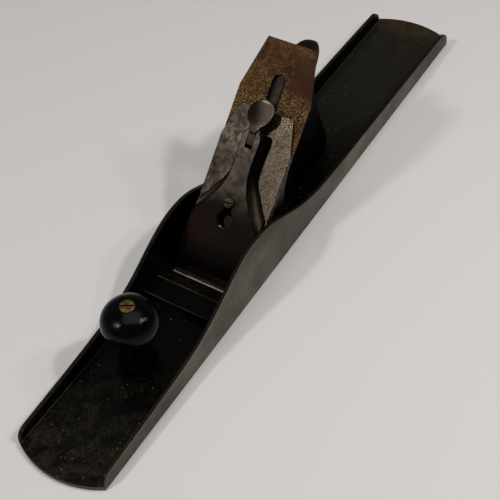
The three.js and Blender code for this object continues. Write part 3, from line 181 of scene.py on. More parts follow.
def shade_and_dirty_slot(piece, axis, head_height):
    """Gives the cut faces of a screw's slot a dark finish of their own: dirt, and painted shade in the
    slot's depth.
    """
    axis = Vector(axis).normalized()
    top = max(vertex.co @ axis for vertex in piece.data.vertices)
    head = [vertex.co for vertex in piece.data.vertices if vertex.co @ axis > top - head_height]
    middle = sum(head, Vector()) / len(head)
    radius = max(((place - middle) - (place - middle).dot(axis) * axis).length for place in head)
    piece.data.materials.append(finish("grime_and_shade"))
    for face in piece.data.polygons:
        across = face.center - middle
        out = (across - across.dot(axis) * axis).length / radius
        depth = top - face.center @ axis
        if depth >= head_height:
            continue
        if abs(face.normal @ axis) < STEEP:
            dirty_and_shaded = out < SLOT_REACH
        else:
            dirty_and_shaded = depth > head_height * SLOT_FLOOR_DEPTH and out < SLOT_FLOOR_REACH
        if dirty_and_shaded:
            face.material_index = 1


# Node building


class Wire:
    """A socket that adds Math nodes when Python adds, multiplies or compares it."""

    def __init__(self, finish, socket):
        self.finish = finish
        self.socket = socket

    def maths(self, operation, *values):
        return self.finish.node("ShaderNodeMath", {"operation": operation}, *values).out()

    def __add__(self, other):
        return self.maths("ADD", self, other)

    __radd__ = __add__

    def __sub__(self, other):
        return self.maths("SUBTRACT", self, other)

    def __rsub__(self, other):
        return self.maths("SUBTRACT", other, self)

    def __mul__(self, other):
        return self.maths("MULTIPLY", self, other)

    __rmul__ = __mul__

    def __abs__(self):
        return self.maths("ABSOLUTE", self)

    def least(self, other):
        return self.maths("MINIMUM", self, other)

    def rise(self, start, end):
        """0 below start, 1 above end, and smooth between them; start may be the larger."""
        low, high = min(start, end), max(start, end)
        ends = (0.0, 1.0) if start < end else (1.0, 0.0)
        settings = {"interpolation_type": "SMOOTHSTEP"}
        return self.finish.node("ShaderNodeMapRange", settings, self, low, high, *ends).out()

    def near(self, middle, reach):
        """1 at the middle value, falling to 0 at the reach either side."""
        return abs(self - middle).rise(reach, 0.0)


class Node:
    """A node of a finish, whose outputs are wires."""

    def __init__(self, finish, node):
        self.finish = finish
        self.node = node

    def out(self, name=0):
        return Wire(self.finish, self.node.outputs[name])


MIX_SHARE, MIX_FIRST, MIX_SECOND, MIX_COLOUR = 0, 6, 7, 2  # a Mix node's sockets for colours


class Finish:
    """A procedural material and the nodes that make it."""

    def __init__(self, name):
        self.material = bpy.data.materials.new(name)
        self.material.use_nodes = True
        self.tree = self.material.node_tree
        self.shader = self.tree.nodes["Principled BSDF"]
        self.places = self.node("ShaderNodeTexCoord", {})

    def node(self, kind, settings, *values, **named):
        """Adds a node, and feeds its sockets by their order or by their names."""
        node = self.tree.nodes.new(kind)
        for name, value in settings.items():
            setattr(node, name, value)
        for index, value in enumerate(values):
            self.feed(node.inputs[index], value)
        for name, value in named.items():
            self.feed(node.inputs[name.replace("_", " ")], value)
        return Node(self, node)

    def feed(self, socket, value):
        if isinstance(value, Wire):
            self.tree.links.new(value.socket, socket)
        else:
            socket.default_value = value

    def set(self, **named):
        """Feeds the shader's own sockets."""
        for name, value in named.items():
            self.feed(self.shader.inputs[name.replace("_", " ")], value)

    def place(self, scale=(1, 1, 1), turn=(0, 0, 0)):
        """Object coordinates in millimetres, turned and then stretched."""
        to_mm = tuple(share / MM for share in scale)
        settings = {"vector_type": "POINT"}
        shift = (0, 0, 0)
        return self.node("ShaderNodeMapping", settings, self.places.out("Object"), shift, turn, to_mm).out()

    def split(self, vector):
        """The three parts of a vector."""
        node = self.node("ShaderNodeSeparateXYZ", {}, vector)
        return node.out(0), node.out(1), node.out(2)

    def axes(self):
        """x, y and z, in millimetres."""
        return self.split(self.place())

    def facing(self):
        """x, y and z of the way that the surface faces."""
        return self.split(self.places.out("Normal"))

    def noise(self, size, detail=4.0, rough=0.55, bend=0.0, vector=None):
        """Cloudy noise from 0 to 1, of this size in millimetres."""
        return self.node(
            "ShaderNodeTexNoise",
            {},
            Vector=vector or self.place(),
            Scale=1.0 / size,
            Detail=detail,
            Roughness=rough,
            Distortion=bend,
        ).out()

    def specks(self, size):
        """Distance from the nearest of many scattered points, 0 at each point."""
        return self.node("ShaderNodeTexVoronoi", {}, Vector=self.place(), Scale=1.0 / size).out()

    def shade(self, colour):
        """A colour for a socket, from a wire or from a colour picked on a screen."""
        return colour if isinstance(colour, Wire) else (*linear(*colour), 1.0)

    def mix(self, first, second, share, label=""):
        """A colour between two colours."""
        node = self.node("ShaderNodeMix", {"data_type": "RGBA", "label": label})
        self.feed(node.node.inputs[MIX_SHARE], share)
        self.feed(node.node.inputs[MIX_FIRST], self.shade(first))
        self.feed(node.node.inputs[MIX_SECOND], self.shade(second))
        return node.out(MIX_COLOUR)

    def layered(self, colour, *layers):
        """A colour under others, each laid over the last with a label, a colour and its share."""
        for label, over, share in layers:
            colour = self.mix(colour, over, share, label)
        return colour

    def relief(self, height, strength, depth):
        """Bumps the surface by a height from 0 to 1, depth in millimetres."""
        return self.node("ShaderNodeBump", {}, Strength=strength, Distance=depth * MM, Height=height).out()


def linear(red, green, blue):
    """A colour picked on a screen, as Blender's linear colour."""
    return tuple(((c / 255 + 0.055) / 1.055) ** 2.4 if c > 10 else c / 3294.6 for c in (red, green, blue))


BED_TURN = (0.0, -BED_ANGLE, 0.0)  # turns the bed's slope into the x axis of a pattern
BED_FOOT = MOUTH_X / MM * math.cos(BED_ANGLE)  # the mouth's place along that axis


def bed_axes(finish):
    """Distance up the bed, across it and above the iron's face, in millimetres."""
    x, y, z = finish.split(finish.place(turn=BED_TURN))
    return BED_FOOT - x, y, z - BED_FOOT


# Finishes, with places in millimetres

WALL_INSIDE = 33.5  # of the side walls, from the middle
WALL_OUTSIDE = 37.0
BAR_HEEL_EDGE = 107.2  # the worn edges of the bar across the bed
BAR_TOE_EDGE = 124.6
CAP_IRON_TOP = 141.0  # up the bed
PIN_UP_BED = 116.5  # the thumb lever's pin
PIN_ABOVE_IRON = 7.4
TOTE_CREST = (98.0, 114.0)  # heights between which the rear handle turns brown


def casting_finish(tones):
    """Bare grey-brown iron outside, worn black lacquer inside, thin bright worn edges."""
    f = Finish("casting")
    x, y, z = f.axes()
    nx, ny, nz = f.facing()
    clouds = f.noise(26.0, 5.0, 0.6)
    patches = f.noise(11.0, 5.0, 0.68, 0.3)
    fine = f.noise(2.2, 5.0, 0.65)
    coarse = f.noise(1.5, 3.0, 0.8)
    grain = f.noise(0.7, 3.0, 0.6)
    brushed = f.noise(9.0, 4.0, 0.7, vector=f.place(scale=(0.9, 1, 12)))
    upright = f.noise(5.0, 3.0, 0.6, vector=f.place(scale=(8, 1, 0.7)))
    bare = f.layered(
        f.mix(tones.side_low, tones.side_high, clouds.rise(0.3, 0.72)),
        ("rust", (58, 44, 32), (fine * clouds).rise(0.3, 0.5) * 0.6),
        ("brushed", (132, 126, 114), brushed.rise(0.62, 0.8) * 0.2),
        ("ends", (44, 40, 36), abs(x).rise(150.0, 262.0) * 0.45),
        ("hump", (48, 44, 38), z.rise(30.0, 60.0) * 0.75),
        ("middle", (52, 48, 42), x.near(10.0, 60.0) * 0.5),
    )

    heel = x.rise(-40.0, -170.0)
    toe = x.rise(150.0, 215.0)
    mottled = patches.rise(0.42, 0.62) * (toe * 0.9 + heel * 0.35)
    mottle = f.mix((41, 34, 21), (36, 38, 22), f.noise(8.0, 3.0, 0.6, 0.4).rise(0.42, 0.58))
    browned = abs(x).rise(190.0, 266.0) * f.noise(15.0, 5.0, 0.66, 0.5).rise(0.44, 0.6)
    flecks = f.specks(4.2).rise(0.15, 0.05) * f.noise(23.0, 2.0).rise(0.44, 0.56)
    scuffs = f.noise(3.2, 5.0, 0.75, 0.8).rise(0.655, 0.7)
    walls = (abs(ny).rise(0.3, 0.7) + abs(y).rise(WALL_INSIDE - 0.3, WALL_INSIDE + 0.3)).least(1.0)
    # The corner line is a painted highlight along the inner corners where the walls meet the bed.
    corner = abs(y).near(WALL_INSIDE - 0.6, 0.45) * z.rise(8.0, 6.5) * abs(x).rise(130.0, 190.0)
    crown = abs(y).rise(WALL_INSIDE + 0.1, WALL_INSIDE + 0.7) * nz.rise(0.4, 0.7)
    slope = x.rise(90.5, 93.0) * x.rise(BAR_HEEL_EDGE + 1.3, BAR_HEEL_EDGE - 0.7)
    slope = slope * nz.rise(0.3, 0.6) * abs(y).rise(31.0, 29.0)
    bar = x.rise(BAR_HEEL_EDGE - 2.7, BAR_HEEL_EDGE + 0.8) * x.rise(BAR_TOE_EDGE + 2.4, BAR_TOE_EDGE - 0.6)
    lacquer = f.layered(
        f.mix((2, 2, 1), (5, 4, 2), toe * 0.8),
        ("heel", (31, 29, 22), heel * 0.9),
        ("mottle", mottle, mottled * coarse.rise(0.46, 0.62) * 0.7),
        ("pores", (2, 2, 1), toe * coarse.rise(0.52, 0.4) * 0.85),
        ("browned ends", (52, 43, 27), browned * coarse.rise(0.36, 0.58) * 0.6),
        ("heel's end", (70, 50, 32), x.rise(-244.0, -276.0) * patches.rise(0.3, 0.55) * 0.5),
        ("flecks", (124, 118, 102), flecks * 0.6),
        ("scuffs", (80, 74, 62), scuffs * 0.25),
        ("walls", (3, 3, 2), walls * (1.0 - browned * 0.4)),
        # painted highlight along the inner corners
        ("corner", (86, 80, 66), corner * fine.rise(0.3, 0.55) * 0.7),
        ("crown", (40, 29, 20), crown * fine.rise(0.25, 0.6) * 0.7),
        ("slope", (9, 7, 4), slope),
        ("slope's dust", (140, 118, 74), slope * grain.rise(0.56, 0.68) * fine.rise(0.48, 0.62) * 0.7),
        ("bar", (2, 2, 1), bar * z.rise(7.0, 8.5) * 0.85),
    )

    outside = abs(y).rise(WALL_OUTSIDE - 0.7, WALL_OUTSIDE - 0.05)
    ends = abs(nx).rise(0.5, 0.8) * z.rise(4.6, 3.8) * abs(x).rise(225.0, 240.0)
    sole = z.rise(1.2, 0.5)
    shell = (outside + ends + sole).least(1.0)
    wall_edge = abs(y).near(WALL_OUTSIDE - 0.3, 0.6) * nz.rise(0.2, 0.45)
    bar_edges = x.near(BAR_HEEL_EDGE, 0.5) * 0.7 + x.near(BAR_TOE_EDGE, 0.4) * 0.5
    bar_edges = bar_edges * z.rise(8.0, 10.0) * nz.rise(0.35, 0.55) * clouds.rise(0.3, 0.6)
    bar_edges = bar_edges.least(1.0) * abs(y).rise(33.0, 31.0)
    worn = (wall_edge * 0.8 + bar_edges).least(1.0) * fine.rise(0.28, 0.52)
    f.set(
        Base_Color=f.layered(
            lacquer,
            ("bare iron", bare, shell),
            ("worn edges", (122, 116, 104), worn * 0.8),
        ),
        Metallic=shell * 0.55 + worn * 0.3,
        Roughness=0.3 + shell * 0.22 + (fine - 0.5) * 0.2 + worn * 0.1 + mottled * 0.15,
        Specular_IOR_Level=0.1,
        Normal=f.relief(fine * 0.6 + grain * 0.3 + upright * 0.25 + coarse * mottled * 0.8, 0.4, 0.18),
    )
    return f.material


def rusted_finish():
    """The iron: dark brown rust full of golden specks, with a smooth darker patch."""
    f = Finish("rusted_iron")
    up, y, _ = bed_axes(f)
    _, ny, _ = f.facing()
    clouds = f.noise(16.0, 5.0, 0.6)
    blotch = f.noise(5.0, 5.0, 0.65, 0.4)
    fine = f.noise(1.0, 4.0, 0.75)
    pits = f.specks(1.15)
    lines = f.noise(7.0, 3.0, 0.6, vector=f.place(scale=(0.12, 1, 1), turn=BED_TURN))
    patch = (y + clouds * 12.0).rise(12.0, 17.0) * (up + blotch * 10.0).near(177.0, 21.0).rise(0.0, 0.5)
    beside_cap = y.rise(16.0, 20.0) * up.rise(CAP_IRON_TOP + 5.0, CAP_IRON_TOP - 7.0)
    # The golden specks are rust and dust specks brightened as painted glints; they gather near the cap
    # iron's top and beside it.
    dust_and_glints = up.near(CAP_IRON_TOP, 8.0) * 0.45 + beside_cap * 0.6
    golden = (pits.rise(0.42, 0.16) * fine.rise(0.48, 0.6) + fine.rise(0.54, 0.64)).least(1.0)
    thick = up.rise(184.0, 150.0) * 0.6 + dust_and_glints + blotch.rise(0.4, 0.6) * 0.35
    thick = (thick + up.near(CAP_IRON_TOP + 3.0, 10.0) * 0.6).least(1.0)
    # The slot's side faces are painted dark as the shade in the slot.
    slot_side_shade = abs(ny).rise(0.4, 0.8) * abs(y).rise(14.0, 9.0)
    f.set(
        Base_Color=f.layered(
            f.mix((52, 33, 18), (96, 67, 40), (clouds * 0.6 + blotch * 0.4).rise(0.38, 0.62)),
            ("golden specks", (184, 148, 96), golden * thick * (1.0 - patch * 0.85 * (1.0 - dust_and_glints))),
            ("pores", (20, 11, 5), fine.rise(0.5, 0.4) * 0.7 * (1.0 - patch * 0.7)),
            ("smooth patch", (62, 37, 21), patch * 0.8),
            ("lines", (52, 30, 17), lines.rise(0.55, 0.66) * 0.6),
            ("slot's sides", (14, 11, 8), slot_side_shade),
        ),
        Metallic=0.0,
        Roughness=0.66 + (fine - 0.5) * 0.3 - patch * 0.06,
        Specular_IOR_Level=0.06,
        Normal=f.relief(fine * 0.7 + pits * 0.3, 0.5, 0.2),
    )
    return f.material


def speckled_finish():
    """The cap iron: grey steel, densely speckled on one side and mottled on the other."""
    f = Finish("speckled_steel")
    up, y, _ = bed_axes(f)
    _, ny, _ = f.facing()
    clouds = f.noise(14.0, 4.0, 0.6)
    mottle = f.noise(4.5, 5.0, 0.65, 0.3)
    stain = f.noise(9.0, 3.0, 0.5, 0.6)
    fine = f.noise(1.05, 3.0, 0.75)
    spots = f.specks(2.3)
    left = (y + clouds * 8.0).rise(2.0, 9.0)
    glints = fine.rise(0.6, 0.66) * (up.rise(128.0, 138.0) + mottle.rise(0.5, 0.6) * 0.6).least(1.0)
    speckle = (fine * 0.6 + spots * 0.6).rise(0.44, 0.34) * (0.45 + left * 0.5)
    # Painted shade on the cap iron under the lever cap, seen dark through the keyhole.
    under_cap_shade = (up.near(54.0, 18.0) * abs(y).rise(12.0, 9.0)).rise(0.0, 0.3)
    nose = up.rise(11.0, 8.5)
    bright = up.near(116.0, 14.0) * y.rise(-6.0, -14.0) * clouds.rise(0.35, 0.6)
    # A painted highlight along the rounded side edges.
    edge = abs(ny).near(0.35, 0.25) * fine.rise(0.3, 0.6)
    f.set(
        Base_Color=f.layered(
            f.mix((36, 30, 25), (74, 66, 57), (clouds * 0.5 + mottle * 0.5).rise(0.36, 0.6)),
            ("pale grain", (106, 95, 80), left * fine.rise(0.42, 0.56) * 0.8),
            ("brown mottle", (54, 45, 35), left * mottle.rise(0.48, 0.6) * 0.6),
            ("glints", (232, 208, 158), left * glints),
            ("grey mottle", (96, 88, 78), (1.0 - left) * mottle.rise(0.54, 0.66) * 0.6),
            ("speckle", (24, 17, 12), speckle),
            ("spots", (40, 26, 16), spots.rise(0.26, 0.08) * mottle.rise(0.4, 0.6) * 0.8),
            # painted shade under the lever cap
            ("below the lever cap", (22, 17, 12), under_cap_shade * 0.9),
            ("nose", (34, 22, 14), nose * 0.85),
            ("nose's mottle", (16, 10, 7), nose * mottle.rise(0.45, 0.6) * 0.8),
            ("stains", (30, 21, 15), stain.rise(0.52, 0.66) * 0.38),
            ("bright patch", (126, 116, 104), bright * mottle.rise(0.4, 0.6) * 0.7),
            # painted shadow: the side faces dark as the gap beside the iron
            ("sides", (12, 8, 5), abs(ny).rise(0.55, 0.85) * 0.9),
            ("tarnish", (10, 7, 4), 0.3),
            # painted highlight on the side edges
            ("edges", (140, 128, 106), edge * 0.6),
        ),
        Metallic=0.97 - nose * 0.5,
        Roughness=0.38 + (fine - 0.5) * 0.26,
        Specular_IOR_Level=0.08,
        Normal=f.relief(fine, 0.4, 0.12),
    )
    return f.material


def lever_cap_finish():
    """The lever cap: smooth grey iron above under a painted sheen, brown-black below as painted dark
    reflection and rusted low on one side, flanks in painted shade with a painted sheen streak, and a bright
    rim of wear and painted highlight.
    """
    f = Finish("lever_cap_iron")
    up, y, h = bed_axes(f)
    _, ny, _ = f.facing()
    clouds = f.noise(17.0, 4.0, 0.55, 0.3)
    mottle = f.noise(5.0, 5.0, 0.62, 0.4)
    fine = f.noise(0.9, 4.0, 0.7)
    # The face's lighter upper part is a painted sheen, and its brown-black lower part painted dark
    # reflection.
    above = (up + (clouds - 0.5) * 26.0).rise(56.0, 100.0)
    rust = y.rise(10.0, -14.0) * up.rise(58.0, 34.0) * mottle.rise(0.4, 0.6)
    top = f.layered(
        f.mix((24, 16, 12), (74, 65, 57), above),
        ("pale clouds", (104, 94, 85), clouds.rise(0.42, 0.6) * above * 0.8),
        ("dark mottle", (32, 25, 20), mottle.rise(0.48, 0.64) * 0.6 * above),
        ("rust", (44, 20, 12), rust * 0.6),
        ("rust grain", (70, 34, 18), rust * fine.rise(0.5, 0.66) * 0.4),
        # The near-black foot is painted dark reflection at the lower end.
        ("foot", (4, 3, 2), up.rise(36.0, 22.0) * 0.85),
    )
    # The flanks carry painted light: a dark upper part as painted shade, a lighter lower part where light
    # falls, a painted sheen streak and a painted shadow at the foot.
    painted_sheen = h.near(7.2, 1.6) * (0.3 + clouds * 0.9) * up.rise(90.0, 62.0)
    flank = f.layered(
        f.mix((5, 3, 2), (16, 11, 7), mottle.rise(0.35, 0.65)),
        ("lower flank", (24, 17, 10), up.rise(90.0, 66.0) * 0.8),
        ("painted_sheen", (140, 122, 92), painted_sheen * 0.28),
        ("flank's foot", (10, 7, 5), h.rise(5.0, 3.4) * 0.85),
    )
    side = abs(ny).rise(0.38, 0.56)
    # Painted shade in the pin's hole.
    pin_hole_shade = up.near(PIN_UP_BED, 2.6) * h.near(PIN_ABOVE_IRON, 2.6) * abs(y).rise(5.0, 6.0)
    # The bright rim along the face's edge is partly edge wear and partly a painted highlight.
    rim = abs(ny).near(0.3, 0.22) * h.rise(4.0, 6.0) * up.rise(19.0, 24.0)
    f.set(
        Base_Color=f.layered(
            top,
            # flanks in painted shade and sheen
            ("flanks", flank, side),
            ("pin's hole", (7, 5, 3), pin_hole_shade.rise(0.02, 0.1)),
            ("rim", (226, 216, 196), rim * 0.9 * fine.rise(0.2, 0.5)),
        ),
        Metallic=above * 0.4 + side * 0.1,
        Roughness=0.42 + (fine - 0.5) * 0.2 + (mottle - 0.5) * 0.15,
        Specular_IOR_Level=0.04,
        Normal=f.relief(fine * 0.5 + mottle * 0.5, 0.2, 0.1),
    )
    return f.material


def dark_steel_finish(name, low, high, rough, half_width=None):
    """Small steel pieces: dull and browned, and painted dark past a half width, if there is one, as the
    shade in the gaps beside the side lever's strip.
    """
    f = Finish(name)
    clouds = f.noise(5.0, 4.0, 0.6)
    fine = f.noise(0.9, 4.0, 0.7)
    colour = f.mix(low, high, clouds.rise(0.3, 0.7))
    colour = f.mix(colour, (40, 28, 20), fine.rise(0.56, 0.74) * 0.5, "browning")
    if half_width:
        _, y, _ = f.axes()
        # Past the half width the strip is painted dark, as the shade in the slot's gaps.
        colour = f.mix(colour, (16, 13, 10), abs(y).rise(half_width - 0.6, half_width + 0.4), "sides")
    f.set(
        Base_Color=colour,
        Metallic=0.6,
        Roughness=rough + (fine - 0.5) * 0.25,
        Specular_IOR_Level=0.35,
        Normal=f.relief(fine, 0.25, 0.08),
    )
    return f.material


def thumb_finish():
    """The thumb lever: dark polished steel, lighter where the thumb rests."""
    f = Finish("thumb_lever_steel")
    up, y, _ = bed_axes(f)
    clouds = f.noise(6.0, 4.0, 0.6)
    fine = f.noise(0.8, 4.0, 0.7)
    leaf = (up * 0.5 + y * 1.2 + (clouds - 0.5) * 8.0).rise(62.0, 76.0)
    f.set(
        Base_Color=f.layered(
            f.mix((30, 22, 16), (106, 95, 84), leaf),
            ("shank", (92, 80, 66), up.rise(121.0, 119.0)),
            ("grain", (24, 18, 14), fine.rise(0.5, 0.68) * 0.6),
        ),
        Metallic=0.7,
        Roughness=0.33 + (fine - 0.5) * 0.2,
        Specular_IOR_Level=0.25,
        Normal=f.relief(fine * 0.6 + clouds * 0.4, 0.25, 0.1),
    )
    return f.material


def brass_finish(name, low, high, dirt):
    """Tarnished brass with dirt in its grain."""
    f = Finish(name)
    clouds = f.noise(3.0, 4.0, 0.6)
    fine = f.noise(0.6, 4.0, 0.7)
    colour = f.mix(low, high, clouds.rise(0.35, 0.65))
    f.set(
        Base_Color=f.mix(colour, dirt, fine.rise(0.5, 0.7) * 0.75, "dirt"),
        Metallic=0.7,
        Roughness=0.46 + (fine - 0.5) * 0.25,
        Normal=f.relief(fine, 0.3, 0.08),
    )
    return f.material


def grime_and_shade_finish():
    """Oily dirt packed in a slot, darkened further as painted shade."""
    f = Finish("slot_grime_and_shade")
    fine = f.noise(0.5, 4.0, 0.7)
    f.set(
        Base_Color=f.mix((6, 5, 4), (20, 15, 11), fine.rise(0.4, 0.7)),
        Roughness=0.75 + (fine - 0.5) * 0.2,
        Specular_IOR_Level=0.2,
        Normal=f.relief(fine, 0.4, 0.06),
    )
    return f.material


def lacquered_finish():
    """The frog: black lacquer with rusty wear."""
    f = Finish("frog_lacquer")
    clouds = f.noise(9.0, 4.0, 0.6)
    fine = f.noise(1.6, 4.0, 0.65)
    colour = f.mix((7, 6, 5), (19, 17, 14), clouds.rise(0.4, 0.7))
    f.set(
        Base_Color=f.mix(colour, (60, 48, 36), fine.rise(0.62, 0.78) * 0.35, "wear"),
        Metallic=0.0,
        Roughness=0.42 + (fine - 0.5) * 0.3,
        Specular_IOR_Level=0.25,
        Normal=f.relief(fine * 0.5 + clouds * 0.5, 0.3, 0.2),
    )
    return f.material


def handle_finish(name, low, high, wear, rough, shine, crest=None):
    """Black stained wood, dappled and worn, with a crest of its own colour where it has one."""
    f = Finish(name)
    clouds = f.noise(11.0, 5.0, 0.6, 0.5)
    dapple = f.noise(3.4, 4.0, 0.6, 0.6)
    grain = f.noise(3.0, 5.0, 0.65, 0.2, f.place(scale=(1, 1, 0.12)))
    fine = f.noise(1.2, 4.0, 0.7)
    worn = clouds.rise(0.52, 0.68) * fine.rise(0.35, 0.6)
    colour = f.mix(low, high, grain.rise(0.35, 0.7))
    colour = f.mix(colour, wear, worn * 0.4, "wear")
    if crest:
        _, _, z = f.axes()
        colour = f.mix(colour, crest, z.rise(*TOTE_CREST) * (0.5 + clouds * 0.5), "crest")
    f.set(
        Base_Color=colour,
        Metallic=0.0,
        Roughness=rough + worn * 0.2 + (dapple - 0.5) * 0.12,
        Specular_IOR_Level=shine,
        Normal=f.relief(fine * 0.3 + grain * 0.1 + dapple * 0.6, 0.7, 0.3),
    )
    return f.material


MAKERS = {  # a finish's key and how to make it
    "casting": lambda: casting_finish(bpy.context.scene.plane_tones),
    "rusted": rusted_finish,
    "speckled": speckled_finish,
    "lever_cap": lever_cap_finish,
    "steel": lambda: dark_steel_finish("browned_steel", low=(40, 35, 30), high=(74, 66, 57), rough=0.45),
    # the strip's sides past the half width are painted shade
    "strip": lambda: dark_steel_finish(
        "side_lever_steel", low=(34, 28, 21), high=(68, 58, 45), rough=0.6, half_width=2.6
    ),
    "thumb": thumb_finish,
    "brass": lambda: brass_finish(
        "tarnished_brass", low=(70, 52, 19), high=(136, 106, 43), dirt=(32, 24, 13)
    ),
    "dull_brass": lambda: brass_finish(
        "dull_brass", low=(38, 30, 21), high=(74, 61, 43), dirt=(24, 18, 12)
    ),
    "grime_and_shade": grime_and_shade_finish,
    "frog": lacquered_finish,
    "knob": lambda: handle_finish(
        "knob_wood", low=(2, 2, 2), high=(5, 5, 4), wear=(26, 24, 21), rough=0.12, shine=0.11
    ),
    "tote": lambda: handle_finish(
        "tote_wood",
        low=(2, 1, 1),
        high=(5, 3, 2),
        wear=(40, 24, 15),
        rough=0.5,
        shine=0.02,
        crest=(34, 19, 11),
    ),
}
FINISHES = {}


def finish(key):
    """A finish by its key, made the first time that it is asked for."""
    if key not in FINISHES:
        FINISHES[key] = MAKERS[key]()
    return FINISHES[key]


# Settings that a user would change


def length(name, description, default):
    """A setting in metres."""
    return bpy.props.FloatProperty(name=name, description=description, default=default, unit="LENGTH")


class PlaneSizes(bpy.types.PropertyGroup):
    casting_edge: length("Casting edge", "Rounding of the casting's edges", 0.0006)
    steel_edge: length("Steel edge", "Rounding of the steel pieces' edges", 0.0002)
    cap_edge: length("Lever cap edge", "Rounding of the lever cap's edges", 0.00045)
    small_edge: length("Small edge", "Rounding of screws and pins", 0.00015)
    floor_width: length("Floor width", "Width of the pale floor", 8.0)
    knob_radius: length("Knob radius", "Widest radius of the knob's ball", 0.021)
    knob_half_height: length("Knob half height", "Half the height of the knob's ball", 0.016)
    knob_base: length("Knob base", "Radius of the knob's foot", 0.0145)
    knob_neck: length("Knob neck", "Radius of the knob's neck", 0.0096)
    nut_bore: length("Nut bore", "Radius of the hole that the knob's nut sits in", 0.0055)
    nut_seat: length("Nut seat", "Depth of that hole", 0.0022)
    rod_bore: length("Rod bore", "Radius of the hole through the knob", 0.0043)
    strip_half_width: length("Strip half width", "Half the width of the side lever's strip", 0.006)
    grip_grid: length("Grip grid", "Spacing of the rear handle's mesh", 0.0009)
    thumb_grid: length("Thumb grid", "Spacing of the thumb lever's mesh", 0.0003)


class PlaneTones(bpy.types.PropertyGroup):
    side_low: bpy.props.FloatVectorProperty(
        name="Side, dark", description="Darker tone of the bare side walls", default=(90, 84, 75)
    )
    side_high: bpy.props.FloatVectorProperty(
        name="Side, light", description="Lighter tone of the bare side walls", default=(122, 115, 103)
    )
    floor: bpy.props.FloatVectorProperty(
        name="Floor", description="Colour of the pale floor", default=(0.8, 0.77, 0.745), subtype="COLOR"
    )
    lens: bpy.props.FloatProperty(name="Lens", description="Focal length in millimetres", default=74.853)
    camera_place: bpy.props.FloatVectorProperty(
        name="Camera",
        description="Where the camera stands",
        default=(0.49209, 0.31745, 0.6079),
        subtype="XYZ",
    )
    camera_turn: bpy.props.FloatVectorProperty(
        name="Camera turn",
        description="How the camera is turned",
        default=tuple(math.radians(a) for a in (41.7843, 2.74017, 121.3089)),
        subtype="EULER",
    )


# One operator for each piece or group of like pieces


def carried(nodes, body, key, slot, width):
    """Eased copies of CAD nodes that are already the right shape."""
    pieces = []
    for node in nodes:
        piece = copy_of(node)
        eased(piece, width)
        pieces.append(put(piece, body, finish(key), slot, node))
    return pieces


class PLANE_OT_casting(bpy.types.Operator):
    """Dress the body casting"""

    bl_idname = "plane.casting"
    bl_label = "Body casting"

    def execute(self, context):
        sizes = context.scene.plane_sizes
        carried(["plane_body"], "plane_body", "casting", "body_iron", sizes.casting_edge)
        return {"FINISHED"}


class PLANE_OT_frog(bpy.types.Operator):
    """Dress the frog with its screws and washers"""

    bl_idname = "plane.frog"
    bl_label = "Frog"

    def execute(self, context):
        sizes = context.scene.plane_sizes
        carried(["frog"], "frog", "frog", "frog_japan", sizes.steel_edge)
        screws = ["frog_screw_left", "frog_screw_right", "frog_washer_left", "frog_washer_right"]
        carried(screws, "plane_body", "steel", "screw_steel", sizes.small_edge)
        return {"FINISHED"}


STRIP_BULGE = (0.148, 0.1625)  # distances up the bed between which the side lever's strip is wider
STRIP_REACH = 0.0025  # how much further up the iron's slot that strip reaches


def select_up_bed(piece, low, high):
    """Selects a piece's vertices between two distances up the bed."""
    for vertex in piece.data.vertices:
        up = (MOUTH_X - vertex.co.x + vertex.co.z) * math.cos(BED_ANGLE)
        vertex.select = low < up < high


def widen_strip(lever, half_width):
    """Widens the side lever's strip between the frog and its end tab, and moves the tab up the slot."""
    alone(lever)
    bpy.ops.object.mode_set(mode="EDIT")
    along = (-math.cos(BED_ANGLE), 0, math.sin(BED_ANGLE))
    for up in STRIP_BULGE:
        bpy.ops.mesh.select_all(action="SELECT")
        bpy.ops.mesh.bisect(plane_co=(MOUTH_X + up * along[0], 0, up * along[2]), plane_no=along)
    bpy.ops.mesh.select_all(action="DESELECT")
    bpy.ops.object.mode_set(mode="OBJECT")
    select_up_bed(lever, STRIP_BULGE[0] - MM, STRIP_BULGE[1] + MM)
    widest = max(abs(vertex.co.y) for vertex in lever.data.vertices if vertex.select)
    bpy.ops.object.mode_set(mode="EDIT")
    bpy.ops.transform.resize(value=(1, half_width / widest, 1), center_override=(0, 0, 0))
    bpy.ops.object.mode_set(mode="OBJECT")
    select_up_bed(lever, STRIP_BULGE[1] - MM, math.inf)
    bpy.ops.object.mode_set(mode="EDIT")
    bpy.ops.transform.translate(value=[STRIP_REACH * part for part in along])
    bpy.ops.object.mode_set(mode="OBJECT")


class PLANE_OT_adjusters(bpy.types.Operator):
    """Dress the depth nut, its stud and yoke, and the side lever"""

    bl_idname = "plane.adjusters"
    bl_label = "Adjusters"

    def execute(self, context):
        sizes = context.scene.plane_sizes
        small = sizes.small_edge
        carried(["adjuster_nut"], "adjuster_nut", "brass", "nut_brass", small)
        carried(["adjuster_stud", "yoke_pin", "lateral_pin"], "frog", "steel", "screw_steel", small)
        carried(["depth_yoke"], "depth_yoke", "steel", "lever_steel", sizes.steel_edge)
        carried(["lateral_disc"], "lateral_lever", "steel", "lever_steel", small)
        lever = copy_of("lateral_lever")
        widen_strip(lever, sizes.strip_half_width)
        eased(lever, small)
        put(lever, "lateral_lever", finish("strip"), "lever_steel", "lateral_lever")
        return {"FINISHED"}


class PLANE_OT_irons(bpy.types.Operator):
    """Dress the iron, the cap iron and their screw"""

    bl_idname = "plane.irons"
    bl_label = "Iron and cap iron"

    def execute(self, context):
        sizes = context.scene.plane_sizes
        carried(["plane_iron"], "cutter", "rusted", "rusted_steel", sizes.steel_edge)
        carried(["cap_iron"], "cutter", "speckled", "cap_steel", sizes.steel_edge)
        carried(["cap_iron_screw"], "cutter", "steel", "screw_steel", sizes.small_edge)
        return {"FINISHED"}


